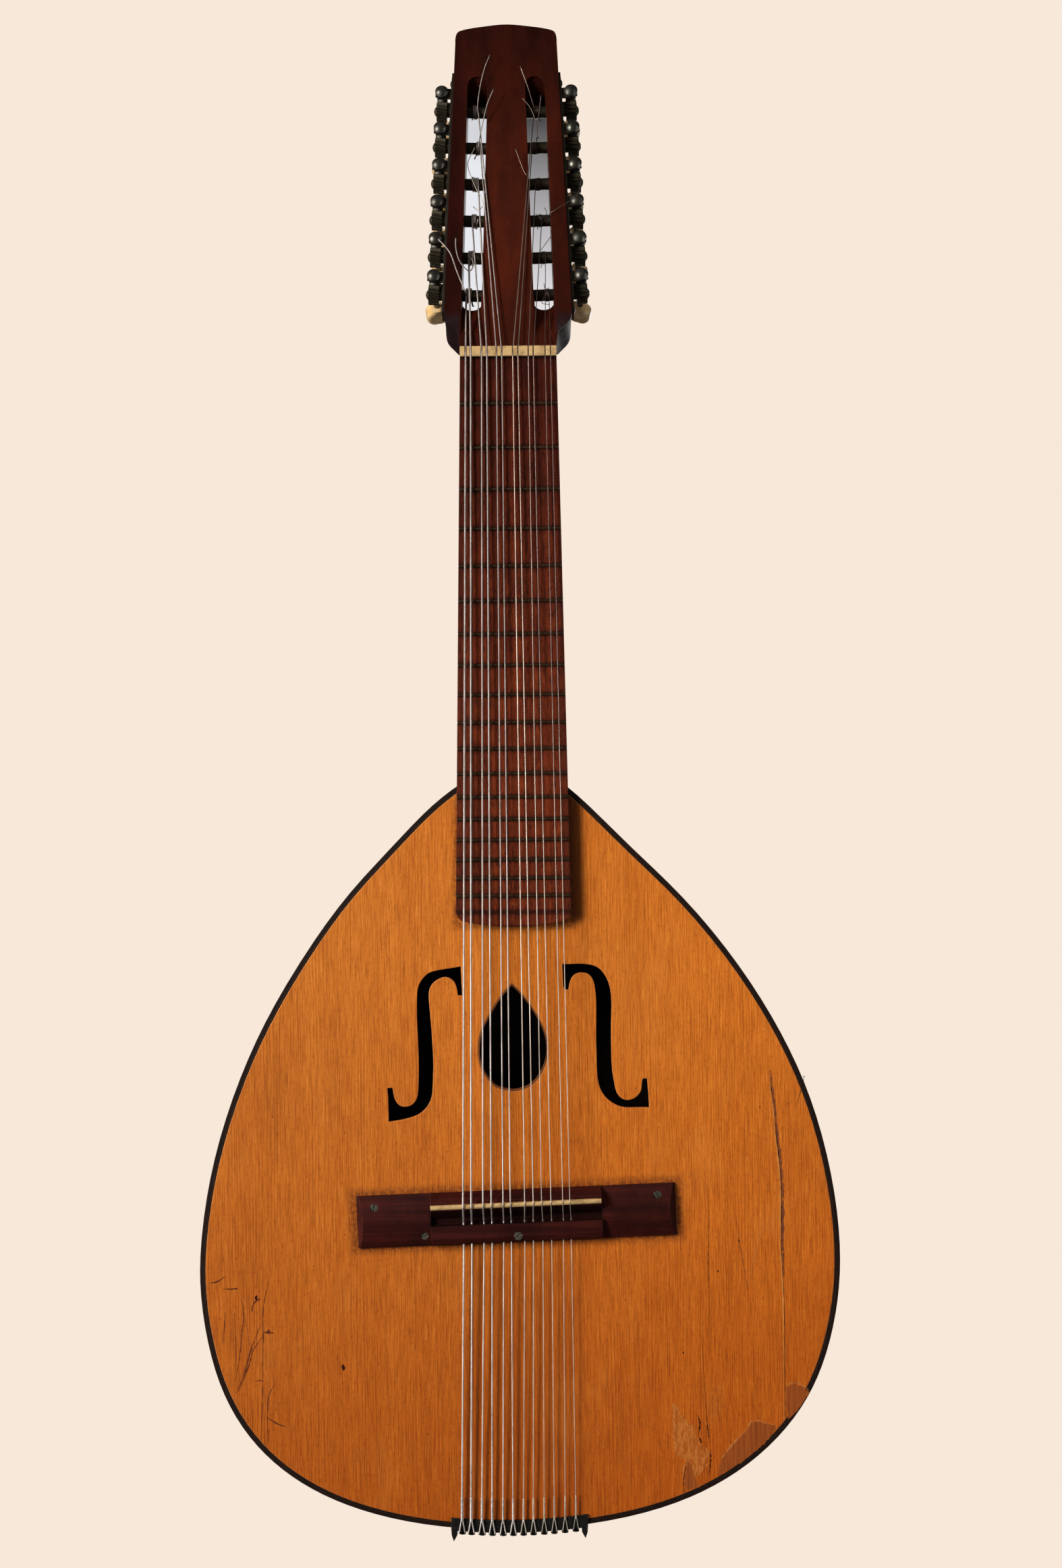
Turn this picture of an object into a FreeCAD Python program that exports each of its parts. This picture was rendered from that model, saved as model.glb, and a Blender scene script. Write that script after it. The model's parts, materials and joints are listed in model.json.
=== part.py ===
"""Twelve-string long-necked lute with a teardrop body, modelled as a parametric assembly.

Bench frame, millimetres: x to the treble side, y along the neck towards the head, z out of the
soundboard. y = 0 is near the widest station of the body and z = 0 the outer face of the back.
Every finished piece is then stood upright: +Z runs up the neck, the soundboard faces -Y and the
origin lies on the centreline of the back's outer face.
"""
import FreeCAD, Part
import math
import os
import Sketcher
from FreeCAD import Placement, Rotation, Vector

doc = FreeCAD.newDocument("LongNeckedLute")

# ---------------------------------------------------------------- driving dimensions
DIMENSIONS = [
    ("body_depth", 76.0), ("back_thickness", 2.8), ("top_thickness", 2.8), ("rib_thickness", 2.2),
    ("binding_height", 4.5), ("purfling_width", 1.1), ("purfling_height", 1.4),
    ("lining_width", 6.0), ("lining_height", 13.0), ("brace_width", 8.0), ("brace_height", 12.0),
    ("nut_station", 535.2), ("fret_scale", 491.8), ("fret_number", 18.0),
    ("nut_thickness", 6.2), ("nut_height", 8.4), ("nut_width", 57.0), ("board_thickness", 6.5),
    ("board_end_station", 203.5), ("board_end_width", 68.0), ("board_end_sagitta", 4.5),
    ("fret_width", 1.9), ("fret_height", 0.9), ("tang_width", 0.6), ("tang_depth", 2.2),
    ("neck_thickness", 16.0), ("head_station", 544.6), ("head_tilt", 15.0),
    ("head_length", 216.0), ("core_thickness", 20.0), ("facing_thickness", 2.0),
    ("slot_width", 12.2), ("slot_low", 24.0), ("slot_high", 179.4),
    ("post_pitch", 25.0), ("post_first", 36.2), ("post_radius", 3.5), ("bearing_gap", 0.1),
    ("journal_radius", 2.5), ("gear_teeth", 14.0), ("gear_module", 0.75), ("gear_face", 6.4),
    ("gear_offset", 3.8), ("worm_pitch_radius", 2.5), ("worm_shaft_radius", 1.6),
    ("cap_radius", 4.0), ("plate_thickness", 1.5), ("plate_width", 18.0),
    ("lug_thickness", 1.5), ("lug_reach", 10.9), ("lug_station", 6.6),
    ("button_length", 17.0), ("button_station", 28.0), ("worm_shaft_end", 39.5),
    ("button_width", 14.0), ("button_thickness", 8.6),
    ("bridge_length", 191.0), ("bridge_width", 30.8), ("bridge_block_length", 101.0),
    ("bridge_angle", 1.95), ("bridge_station", 27.6), ("bridge_height", 9.2),
    ("saddle_thickness", 2.6), ("saddle_length", 100.6), ("saddle_rise", 2.9),
    ("saddle_seat", 8.4), ("string_hole_radius", 1.25), ("string_hole_height", 4.2),
    ("tail_half_width", 40.5), ("tail_metal", 1.3), ("tail_drop", 22.0), ("tail_lip", 6.0),
    ("hook_radius", 1.2), ("hook_reach", 3.2), ("screw_radius", 1.2),
]


class Sizes:
    """The driving dimensions, read back from the sheet."""


sheet = doc.addObject("Spreadsheet::Sheet", "params")
for row, (alias, value) in enumerate(DIMENSIONS, start=1):
    sheet.set("A%d" % row, alias)
    sheet.set("B%d" % row, "%.6g" % value)
    sheet.setAlias("B%d" % row, alias)
doc.recompute()
size = Sizes()
for alias, _ in DIMENSIONS:
    setattr(size, alias, float(sheet.get(alias)))

ORIGIN = Vector(0, 0, 0)
X_AXIS = Vector(1, 0, 0)
Y_AXIS = Vector(0, 1, 0)
Z_AXIS = Vector(0, 0, 1)
BENCH = Placement(ORIGIN, Rotation(X_AXIS, 90))
TOP = size.body_depth
END_Y = 294.0          # flat end of the box under the neck
SCREW_FIT = 0.02       # a screw's shank is this much thinner than its hole, in radius

parts = {}             # node name -> document object


def keep(name, obj):
    obj.Label = name
    parts[name] = obj


# ---------------------------------------------------------------- shape helpers
def flat(pairs, z=0.0):
    return [Vector(x, y, z) for x, y in pairs]


def upright(x, pairs):
    """Points in the plane at x, from (y, z) pairs."""
    return [Vector(x, y, z) for y, z in pairs]


def curve_through(points):
    curve = Part.BSplineCurve()
    curve.interpolate(points)
    return curve


def lines(points):
    return [Part.LineSegment(p, q) for p, q in zip(points, points[1:])]


def wire_of(curves):
    return Part.Wire([curve.toShape() for curve in curves])


def sorted_wire(curves):
    return Part.Wire(Part.__sortEdges__([curve.toShape() for curve in curves]))


def polygon(points):
    return Part.makePolygon(points + points[:1])


def slab(points, direction):
    """Polygon extruded along a vector."""
    return Part.Face(polygon(points)).extrude(direction)


def box(x0, x1, y0, y1, z0, z1):
    return Part.makeBox(x1 - x0, y1 - y0, z1 - z0, Vector(x0, y0, z0))


def rod_between(start, end, radius):
    return Part.makeCylinder(radius, (end - start).Length, start, end - start)


def placed(shape, placement):
    shape.Placement = placement
    return shape


def largest(shape):
    return max(shape.Solids, key=lambda solid: solid.Volume)


# ---------------------------------------------------------------- body outline
# (x, y) half outlines of the box from the neck down to the tail.
BASS = [
    (-3.0, 297.2), (-11.5, 294.0), (-22.0, 289.0), (-33.0, 282.0), (-48.5, 270.0),
    (-68.5, 250.0), (-96.5, 220.0), (-126.0, 180.0), (-149.5, 140.0), (-167.0, 100.0),
    (-179.3, 60.0), (-186.4, 20.0), (-188.0, -8.0), (-184.8, -40.0), (-173.0, -80.0),
    (-153.0, -110.0), (-125.5, -132.0), (-96.0, -145.5), (-62.0, -154.2), (-25.0, -158.4)]
TREBLE = [
    (3.0, 297.2), (11.5, 294.0), (21.5, 289.0), (32.0, 281.5), (45.0, 270.0),
    (65.0, 250.0), (95.5, 220.0), (129.0, 180.0), (154.5, 140.0), (173.0, 100.0),
    (184.6, 60.0), (190.7, 20.0), (191.3, -8.0), (187.0, -40.0), (172.5, -80.0),
    (149.0, -110.0), (119.0, -132.0), (88.0, -145.5), (52.0, -154.2), (16.0, -158.3)]
BASE = curve_through(flat(TREBLE + BASS[::-1]))


def offset_points(inset, count=700):
    """Dense points of the outline moved inwards, from the treble end round to the bass end."""
    points = []
    first, last = BASE.FirstParameter, BASE.LastParameter
    for i in range(count + 1):
        parameter = first + (last - first) * i / count
        point, tangent = BASE.value(parameter), BASE.tangent(parameter)[0]
        points.append(Vector(point.x + tangent.y * inset, point.y - tangent.x * inset, 0))
    return points


def clip_points(points, inside):
    """The run of points for which inside(p) >= 0, with exact ends found by interpolation."""
    run = []
    for p, q in zip(points, points[1:]):
        a, b = inside(p), inside(q)
        if a >= 0 and not run:
            run.append(p)
        if a < 0 <= b:
            run = [p + (q - p) * (a / (a - b))]
        if a >= 0 and b >= 0:
            run.append(q)
        elif a >= 0 > b:
            run.append(p + (q - p) * (a / (a - b)))
            break
    return run


def thin(points, count):
    """count + 1 points at even arc length."""
    lengths = [0.0]
    for p, q in zip(points, points[1:]):
        lengths.append(lengths[-1] + p.distanceToPoint(q))
    out = [points[0]]
    j = 0
    for i in range(1, count):
        want = lengths[-1] * i / count
        while lengths[j + 1] < want:
            j += 1
        part = (want - lengths[j]) / (lengths[j + 1] - lengths[j])
        out.append(points[j] + (points[j + 1] - points[j]) * part)
    return out + [points[-1]]


def outline(inset, side="both"):
    """Spline and its end points: all of the outline up to the flat end, or one part of it."""
    points = clip_points(offset_points(inset), lambda p: END_Y - p.y)
    if side == "treble":
        points = clip_points(points, lambda p: p.x)
    elif side == "bass":
        points = clip_points(points[::-1], lambda p: -p.x)
    elif side == "tail":
        points = [p for p in points if p.y < 0]
        points = clip_points(points, lambda p: size.tail_half_width - abs(p.x))
    points = thin(points, {"both": 60, "tail": 12}.get(side, 34))
    return curve_through(points), points[0], points[-1]


def outline_loop(inset, side="both"):
    curve, start, end = outline(inset, side)
    return [curve, Part.LineSegment(end, start)]


def ring_loop(inset_a, inset_b, side="both"):
    """Closed strip between two offsets of the outline."""
    curve_a, start_a, end_a = outline(inset_a, side)
    curve_b, start_b, end_b = outline(inset_b, side)
    return [curve_a, Part.LineSegment(end_a, end_b), curve_b, Part.LineSegment(start_b, start_a)]


def prism(inset, z0, z1):
    """Everything inside an offset of the outline, from z0 to z1."""
    face = Part.Face(wire_of(outline_loop(inset)))
    face.translate(Vector(0, 0, z0))
    return face.extrude(Vector(0, 0, z1 - z0))


def crossing(points, value, known, wanted):
    """Coordinate `wanted` (0 is x, 1 is y) where the run first has coordinate `known` at value."""
    for p, q in zip(points, points[1:]):
        a, b = p[known], q[known]
        if (a - value) * (b - value) <= 0 and a != b:
            return p[wanted] + (q[wanted] - p[wanted]) * (value - a) / (b - a)
    raise ValueError(value)


def outline_x(y, inset, side):
    points = [p for p in offset_points(inset) if p.x * side > 0]
    return crossing(sorted(points, key=lambda p: p.y), y, 1, 0)


def tail_y(x, inset=0.0):
    return crossing([p for p in offset_points(inset) if p.y < -120], x, 0, 1)


# ---------------------------------------------------------------- document helpers
def new_body(name, placement=BENCH):
    body = doc.addObject("PartDesign::Body", name)
    body.Placement = placement
    return body


def new_sketch(body, name, curves=(), plane="XY_Plane", z=0.0):
    """Sketch of the curves, z above an origin plane; z is a number or an expression."""
    sketch = body.newObject("Sketcher::SketchObject", name)
    support = [f for f in body.Origin.OriginFeatures if f.Role == plane][0]
    sketch.AttachmentSupport = [(support, "")]
    sketch.MapMode = "FlatFace"
    if isinstance(z, str):
        sketch.setExpression("AttachmentOffset.Base.z", z)
    else:
        sketch.AttachmentOffset = Placement(Vector(0, 0, z), Rotation())
    for curve in curves:
        sketch.addGeometry(curve, False)
    return sketch


def add_polygon(sketch, pairs):
    """Closed polygon with joined corners; returns the index of its first edge."""
    first = sketch.GeometryCount
    corners = flat(pairs)
    for edge in lines(corners + corners[:1]):
        sketch.addGeometry(edge, False)
    count = len(pairs)
    for i in range(count):
        sketch.addConstraint(Sketcher.Constraint(
            "Coincident", first + i, 2, first + (i + 1) % count, 1))
    return first


def add_rect(sketch, x, y, width_alias, height_alias):
    """Rectangle centred at (x, y) whose width and height are driven by the sheet."""
    width, height = getattr(size, width_alias), getattr(size, height_alias)
    x0, x1, y0, y1 = x - width / 2, x + width / 2, y - height / 2, y + height / 2
    first = add_polygon(sketch, [(x0, y0), (x1, y0), (x1, y1), (x0, y1)])
    for kind, edge in (("Horizontal", 0), ("Horizontal", 2), ("Vertical", 1), ("Vertical", 3)):
        sketch.addConstraint(Sketcher.Constraint(kind, first + edge))
    for kind, edge, value, alias in (("DistanceX", first, width, width_alias),
                                     ("DistanceY", first + 1, height, height_alias)):
        index = sketch.addConstraint(Sketcher.Constraint(kind, edge, 1, edge, 2, value))
        sketch.setExpression("Constraints[%d]" % index, "params." + alias)
    sketch.addConstraint(Sketcher.Constraint("DistanceX", -1, 1, first, 1, x0))
    sketch.addConstraint(Sketcher.Constraint("DistanceY", -1, 1, first, 1, y0))


def add_circle(sketch, x, y, radius):
    """Circle whose radius is a number or an alias of the sheet."""
    driven = isinstance(radius, str)
    value = getattr(size, radius) if driven else radius
    circle = sketch.addGeometry(Part.Circle(Vector(x, y, 0), Z_AXIS, value), False)
    index = sketch.addConstraint(Sketcher.Constraint("Radius", circle, value))
    if driven:
        sketch.setExpression("Constraints[%d]" % index, "params." + radius)


def extrude(kind, body, sketch, name, length, options):
    """Pad or Pocket of a number or an expression; options are further properties of it."""
    feature = body.newObject("PartDesign::" + kind, name)
    feature.Profile = sketch
    if isinstance(length, str):
        feature.setExpression("Length", length)
    elif length is not None:
        feature.Length = length
    for option, value in options.items():
        setattr(feature, option, value)
    sketch.Visibility = False
    return feature


def pad(body, sketch, name, length, **options):
    return extrude("Pad", body, sketch, name, length, options)


def pocket(body, sketch, name, length=None, **options):
    return extrude("Pocket", body, sketch, name, length, options)


def add_shape(name, shape, placement=BENCH):
    obj = doc.addObject("Part::Feature", name)
    obj.Shape = shape
    obj.Placement = placement
    return obj


def keep_shape(name, shape, placement=BENCH):
    keep(name, add_shape(name, shape, placement))


def add_cut(name, base, tool_name, tools):
    """Part::Cut that takes a compound of bench-frame shapes from an object."""
    cut = doc.addObject("Part::Cut", name)
    cut.Base = base
    cut.Tool = add_shape(tool_name, Part.makeCompound(tools))
    return cut


def drill(name, tools):
    """Take pilot holes, given in the frame of the part, out of a finished part."""
    part = parts[name]
    if part.TypeId == "Part::Feature":
        placement = part.Placement
        blank = placed(part.Shape.copy(), Placement())
        part.Shape = largest(blank.cut(tools))
        part.Placement = placement
    else:
        cut = add_cut(name + "_piloted", part, name + "_pilots", tools)
        part.Label = name + "_blank"
        keep(name, cut)


# ---------------------------------------------------------------- sound holes
# (x, y) round the drop-shaped hole, from its point at the neck end.
DROP = [
    (-1.5, 163.6), (2.5, 159.7), (7.8, 153.1), (12.3, 146.1), (15.5, 139.9), (17.7, 133.8),
    (18.6, 128.0), (18.4, 122.2), (17.1, 116.9), (14.9, 112.2), (12.2, 108.2), (8.3, 104.8),
    (3.5, 102.8), (-1.5, 102.0), (-6.4, 102.8), (-10.9, 104.4), (-14.6, 107.7), (-17.6, 111.8),
    (-19.9, 116.9), (-20.9, 122.3), (-20.8, 128.4), (-19.7, 135.3), (-17.1, 141.4),
    (-13.9, 147.0), (-10.0, 153.4), (-5.5, 159.3)]
DROP_BOTTOM = 13                # index of the lowest point, where the two curves meet
DROP_CENTRE = (0.0, 128.0)
# The scroll-shaped holes: (x, y) runs, straight and curved in turn, each starting where the
# last one ends.
BASS_HOLE = [
    [(-31.7, 175.3), (-31.0, 157.9), (-33.5, 158.1)],
    [(-33.5, 158.1), (-34.3, 162.7), (-36.0, 166.5), (-38.6, 168.4), (-41.2, 169.0),
     (-44.7, 168.0), (-48.4, 165.3), (-50.3, 162.1), (-50.8, 157.2), (-50.4, 150.7),
     (-49.5, 139.9), (-48.9, 129.2), (-48.5, 118.6), (-48.9, 105.1), (-49.3, 99.9),
     (-50.5, 95.7), (-53.5, 91.0), (-57.5, 87.7), (-63.4, 85.5), (-68.8, 84.3), (-75.3, 83.5)],
    [(-75.3, 83.5), (-75.5, 97.5), (-76.0, 103.5), (-72.8, 103.8)],
    [(-72.8, 103.8), (-72.2, 99.6), (-71.0, 95.9), (-68.3, 93.0), (-65.1, 92.4), (-61.7, 93.4),
     (-59.4, 95.6), (-58.1, 98.5), (-57.6, 102.6), (-57.2, 113.1), (-57.4, 128.9),
     (-58.0, 145.1), (-57.8, 158.1), (-57.0, 163.5), (-54.6, 167.9), (-50.9, 171.4),
     (-46.1, 173.0), (-38.6, 174.2), (-31.7, 175.3)]]
TREBLE_HOLE = [
    [(79.2, 90.4), (78.9, 98.9), (78.1, 107.8), (75.6, 107.8)],
    [(75.6, 107.8), (75.1, 105.8), (74.6, 101.2), (71.9, 97.3), (67.5, 95.2), (63.9, 95.7),
     (60.5, 98.8), (58.8, 104.5), (57.6, 112.2), (57.1, 123.5), (57.1, 140.0), (57.5, 150.8),
     (57.2, 158.3), (56.0, 164.3), (53.5, 169.6), (49.5, 173.9), (44.1, 175.8), (37.1, 176.2),
     (28.5, 176.2)],
    [(28.5, 176.2), (29.0, 162.5), (29.9, 160.7), (32.0, 160.9)],
    [(32.0, 160.9), (32.9, 165.2), (34.5, 168.5), (37.1, 170.4), (40.4, 170.9), (43.6, 170.1),
     (46.4, 166.9), (47.8, 161.5), (48.4, 152.9), (48.2, 140.0), (48.2, 123.5), (48.5, 112.2),
     (49.5, 104.5), (52.0, 98.8), (56.9, 93.9), (62.8, 91.1), (68.7, 90.5), (79.2, 90.4)]]


def scroll_loop(runs):
    curves = []
    for i, run in enumerate(runs):
        curves += [curve_through(flat(run))] if i % 2 else lines(flat(run))
    return curves


def drop_loop(outset):
    """The drop-shaped hole moved outwards, keeping its point."""
    points = [Vector(DROP[0][0], DROP[0][1] + 1.5 * outset, 0)]
    for i in range(1, len(DROP)):
        x, y = DROP[i]
        (xa, ya), (xb, yb) = DROP[i - 1], DROP[(i + 1) % len(DROP)]
        length = math.hypot(xb - xa, yb - ya)
        nx, ny = (yb - ya) / length, (xa - xb) / length
        if nx * (x - DROP_CENTRE[0]) + ny * (y - DROP_CENTRE[1]) < 0:
            nx, ny = -nx, -ny
        points.append(Vector(x + nx * outset, y + ny * outset, 0))
    return [curve_through(points[:DROP_BOTTOM + 1]),
            curve_through(points[DROP_BOTTOM:] + points[:1])]


# ================================================================ soundbox
RIB = size.rib_thickness
PURFLING_INSET = RIB + size.purfling_width

# Soundboard: a thin plate let in between the bindings, with a drop and two scroll-shaped holes.
body = new_body("soundboard")
sketch = new_sketch(body, "soundboard_outline",
                    outline_loop(RIB) + drop_loop(0.0)
                    + scroll_loop(BASS_HOLE) + scroll_loop(TREBLE_HOLE),
                    z="params.body_depth - params.top_thickness")
pad(body, sketch, "soundboard_plate", "params.top_thickness")
sketch = new_sketch(body, "purfling_channel", ring_loop(RIB, PURFLING_INSET),
                    z="params.body_depth")
pocket(body, sketch, "purfling_rabbet", "params.purfling_height")
sketch = new_sketch(body, "drop_channel", drop_loop(-0.3) + drop_loop(size.purfling_width),
                    z="params.body_depth")
pocket(body, sketch, "drop_rabbet", "params.purfling_height")
keep("soundboard", body)

# Purfling: the thin line inside the binding, and the ring let in round the drop-shaped hole.
strips = []
for name, sketch_name, strip_name, curves in (
        ("purfling_edge", "purfling_ring", "purfling_strip", ring_loop(RIB, PURFLING_INSET)),
        ("purfling_drop", "drop_ring", "drop_strip",
         drop_loop(size.purfling_width) + drop_loop(0.0))):
    body = new_body(name)
    sketch = new_sketch(body, sketch_name, curves,
                        z="params.body_depth - params.purfling_height")
    pad(body, sketch, strip_name, "params.purfling_height")
    strips.append(body)
purfling = doc.addObject("Part::Compound", "purfling")
purfling.Links = strips
keep("purfling", purfling)

# Binding: the edging that caps the joint of soundboard and ribs.
body = new_body("top_binding")
sketch = new_sketch(body, "binding_ring", ring_loop(0.0, RIB),
                    z="params.body_depth - params.binding_height")
pad(body, sketch, "binding_strip", "params.binding_height")
keep("top_binding", body)

# Back: one flat plate closing the box.
body = new_body("back")
sketch = new_sketch(body, "back_outline", outline_loop(0.0))
pad(body, sketch, "back_plate", "params.back_thickness")
keep("back", body)

# Ribs: two bent sides meeting at the tail.
for side in ("bass", "treble"):
    name = "rib_" + side
    body = new_body(name)
    sketch = new_sketch(body, name + "_edge", ring_loop(0.0, RIB, side),
                        z="params.back_thickness")
    pad(body, sketch, name + "_wall",
        "params.body_depth - params.binding_height - params.back_thickness")
    keep(name, body)

BLOCK_Y, BLOCK_HALF = 246.0, 30.0              # neck block: tail end and half width
TAIL_BLOCK_Y, TAIL_BLOCK_HALF = -142.0, 32.0   # tail block: neck end and half width
LINING_END_Y = 262.0
GLUE = 0.12            # glue line between the ribs and what is fitted inside them
INSIDE_BACK, INSIDE_TOP = size.back_thickness, TOP - size.top_thickness
LINING_INSET = RIB + size.lining_width

# Linings: glue strips inside the ribs, at the soundboard and at the back, stopped by the blocks.
linings = []
for z0, z1 in ((INSIDE_TOP - size.lining_height, INSIDE_TOP),
               (INSIDE_BACK, INSIDE_BACK + size.lining_height)):
    ring = prism(RIB + GLUE, z0, z1).cut(prism(LINING_INSET, z0 - 1, z1 + 1))
    for x, y0, y1 in ((BLOCK_HALF, BLOCK_Y, 310), (TAIL_BLOCK_HALF, -200, TAIL_BLOCK_Y),
                      (200, LINING_END_Y, 310)):
        ring = ring.cut(box(-x, x, y0, y1, z0 - 1, z1 + 1))
    linings += [solid for solid in ring.Solids if solid.Volume > 50]
keep_shape("linings", Part.makeCompound(linings))

# Tail block.
block = box(-TAIL_BLOCK_HALF, TAIL_BLOCK_HALF, -200, TAIL_BLOCK_Y, INSIDE_BACK, INSIDE_TOP)
keep_shape("tail_block", block.common(prism(RIB + GLUE, INSIDE_BACK, INSIDE_TOP)).Solids[0])


def brace(y, z_glue, rise):
    """Bar between the linings with sloped ends; rise is 1 off the back, -1 off the top."""
    half, height = size.brace_width / 2, size.brace_height
    end_height, slope_length, clearance = 3, 28, 0.5
    x0, x1 = [side * (min(abs(outline_x(y + edge, LINING_INSET, side))
                          for edge in (half, -half)) - clearance) for side in (-1, 1)]
    profile = [(x0, 0), (x1, 0), (x1, end_height), (x1 - slope_length, height),
               (x0 + slope_length, height), (x0, end_height)]
    return slab([Vector(x, y - half, z_glue + rise * z) for x, z in profile],
                Vector(0, size.brace_width, 0))


# Braces: three bars under the soundboard and three across the back.
bars = [brace(y, INSIDE_TOP, -1) for y in (189.0, 70.0, -62.0)]
bars += [brace(y, INSIDE_BACK, 1) for y in (178.0, 64.0, -84.0)]
keep_shape("braces", Part.makeCompound(bars))

# ================================================================ neck
NUT_Y = size.nut_station
NUT_BACK = NUT_Y + size.nut_thickness          # head side of the nut
BOARD_END = size.board_end_station
NECK_SIDE = 2.0        # flat side of the neck below the fingerboard


def board_half(y):
    taper = (size.board_end_width - size.nut_width) * (NUT_Y - y) / (NUT_Y - BOARD_END)
    return 0.5 * (size.nut_width + taper)


def neck_section(y, thickness):
    """Closed D-shaped section: flat at the fingerboard, rounded behind."""
    half, count = board_half(y), 12
    points = []
    for i in range(count + 1):
        angle = math.pi * i / count
        across, down = math.cos(angle), abs(math.sin(angle))
        points.append(Vector(half * math.copysign(abs(across) ** 0.62, across), y,
                             TOP - NECK_SIDE - (thickness - NECK_SIDE) * down ** 0.85))
    right, left = Vector(half, y, TOP), Vector(-half, y, TOP)
    return wire_of([Part.LineSegment(right, points[0]), curve_through(points),
                    *lines([points[-1], left, right])])


def heel_section(y, drop, low_half):
    """Section through the heel: full width at the fingerboard, narrowing to the back."""
    half, count = board_half(y), 10
    right = []
    for i in range(count + 1):
        angle = i / count * math.pi / 2
        narrowing = math.cos(angle) ** 0.75 if i < count else 0.0
        right.append(Vector(low_half + (half - low_half) * narrowing, y,
                            TOP - NECK_SIDE - (drop - NECK_SIDE) * math.sin(angle)))
    left = [Vector(-p.x, y, p.z) for p in reversed(right)]
    corner, far_corner = Vector(half, y, TOP), Vector(-half, y, TOP)
    return wire_of([Part.LineSegment(corner, right[0]), curve_through(right),
                    Part.LineSegment(right[-1], left[0]), curve_through(left),
                    *lines([left[-1], far_corner, corner])])


# Neck shaft, heel and the foot that enters the box, joined to the neck block inside it.
NECK = size.neck_thickness
HEEL_Y = 335.0
HEEL_THICKNESS = NECK + 2.2
FOOT_Y, FOOT_HALF = 299.5, 11.8
shaft = Part.makeLoft([neck_section(y, thickness) for y, thickness in (
    (NUT_BACK, NECK + 1.5), (500.0, NECK), (420.0, NECK + 0.8), (HEEL_Y, HEEL_THICKNESS))], True)
# Station, depth below the fingerboard, half width at the back.
HEEL_STATIONS = [
    (HEEL_Y, HEEL_THICKNESS, 14.0), (326.0, HEEL_THICKNESS + 2.0, 13.5),
    (317.0, HEEL_THICKNESS + 8.0, 13.0), (309.0, HEEL_THICKNESS + 20.0, 12.4),
    (303.0, HEEL_THICKNESS + 38.0, 12.0), (FOOT_Y, TOP, FOOT_HALF)]
heel = Part.makeLoft([heel_section(*station) for station in HEEL_STATIONS], True)
foot = Part.makeLoft([heel_section(y, TOP, FOOT_HALF) for y in (FOOT_Y, 278.0)], True)
neck = shaft.fuse([heel, foot]).cut([prism(-0.2, -1.0, TOP), box(-60, 60, 240, 360, -10, 0)])
block = box(-BLOCK_HALF, BLOCK_HALF, BLOCK_Y, END_Y, INSIDE_BACK, INSIDE_TOP)
block = block.common(prism(RIB + 0.2, INSIDE_BACK, INSIDE_TOP))
keep_shape("neck", largest(neck.fuse(block).removeSplitter()))

# Fingerboard with its rounded end.
nut_half, end_half, corner = size.nut_width / 2, size.board_end_width / 2, 5.0


def board_corner(side):
    """Points of the rounded corner, from the board's side to its end."""
    return flat([(side * end_half, BOARD_END + corner),
                 (side * (end_half - 0.28 * corner), BOARD_END + 0.9),
                 (side * (end_half - 0.8 * corner), BOARD_END - 1.2)])


left, right = board_corner(-1), board_corner(1)
nut_left, nut_right = flat([(-nut_half, NUT_Y), (nut_half, NUT_Y)])
end_middle = Vector(0, BOARD_END - size.board_end_sagitta, 0)
body = new_body("fingerboard_blank")
sketch = new_sketch(body, "board_outline", [
    Part.LineSegment(nut_left, left[0]), Part.Arc(*left), Part.Arc(left[2], end_middle, right[2]),
    Part.Arc(*right), *lines([right[0], nut_right, nut_left])], z="params.body_depth")
pad(body, sketch, "board_blank", "params.board_thickness")

# Frets, each a domed crown on a tang, and their saw slots; the frets stop short of the edges.
FRET_INSET = 0.25
BOARD_TOP = TOP + size.board_thickness
frets, saw_slots = [], []
for number in range(1, int(size.fret_number) + 1):
    y = NUT_Y - size.fret_scale * (1 - 2 ** (-number / 12.0))
    edge = board_half(y)
    half = edge - FRET_INSET
    low, crest, high = upright(-half, [(y - size.fret_width / 2, BOARD_TOP),
                                       (y, BOARD_TOP + size.fret_height),
                                       (y + size.fret_width / 2, BOARD_TOP)])
    crown = Part.Face(wire_of([Part.Arc(low, crest, high), Part.LineSegment(high, low)]))
    tang_y = (y - size.tang_width / 2, y + size.tang_width / 2)
    tang = box(-half, half, *tang_y, BOARD_TOP - size.tang_depth, BOARD_TOP)
    crown = crown.extrude(Vector(2 * half, 0, 0))
    frets.append(crown.fuse(tang).removeSplitter().Solids[0])
    saw_slots.append(box(-edge - 2, edge + 2, *tang_y,
                         BOARD_TOP - size.tang_depth, BOARD_TOP + 1))
keep("fingerboard", add_cut("fingerboard", body, "fret_slots", saw_slots))
keep_shape("frets", Part.makeCompound(frets))

# ================================================================ strings: where they run
# Bass to treble: x at the nut, the saddle, behind the bridge, the hook and on the post.
NUT_X = [-25.0, -22.0, -15.6, -12.5, -6.8, -3.7, 2.7, 5.8, 11.9, 14.8, 21.8, 25.0]
SADDLE_X = [-31.3, -26.5, -19.6, -14.7, -7.8, -3.5, 4.9, 9.9, 14.8, 20.3, 27.2, 31.4]
REAR_X = [-31.4, -26.5, -19.0, -14.4, -7.6, -2.8, 4.6, 9.7, 16.1, 21.0, 28.0, 33.0]
HOOK_X = [-34.0, -28.6, -22.3, -16.2, -9.8, -3.8, 2.3, 8.2, 14.6, 20.6, 27.0, 33.4]
POST_X = [-24.9, -23.4, -21.4, -17.6, -16.4, -17.6, 17.2, 15.8, 17.4, 21.0, 22.8, 24.6]
DIAMETER = [1.15, 1.15, 0.95, 0.95, 0.78, 0.78, 0.62, 0.62, 0.5, 0.5, 0.42, 0.42]
HOLE_X = [(saddle + rear) / 2 for saddle, rear in zip(SADDLE_X, REAR_X)]   # in the bridge

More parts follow.
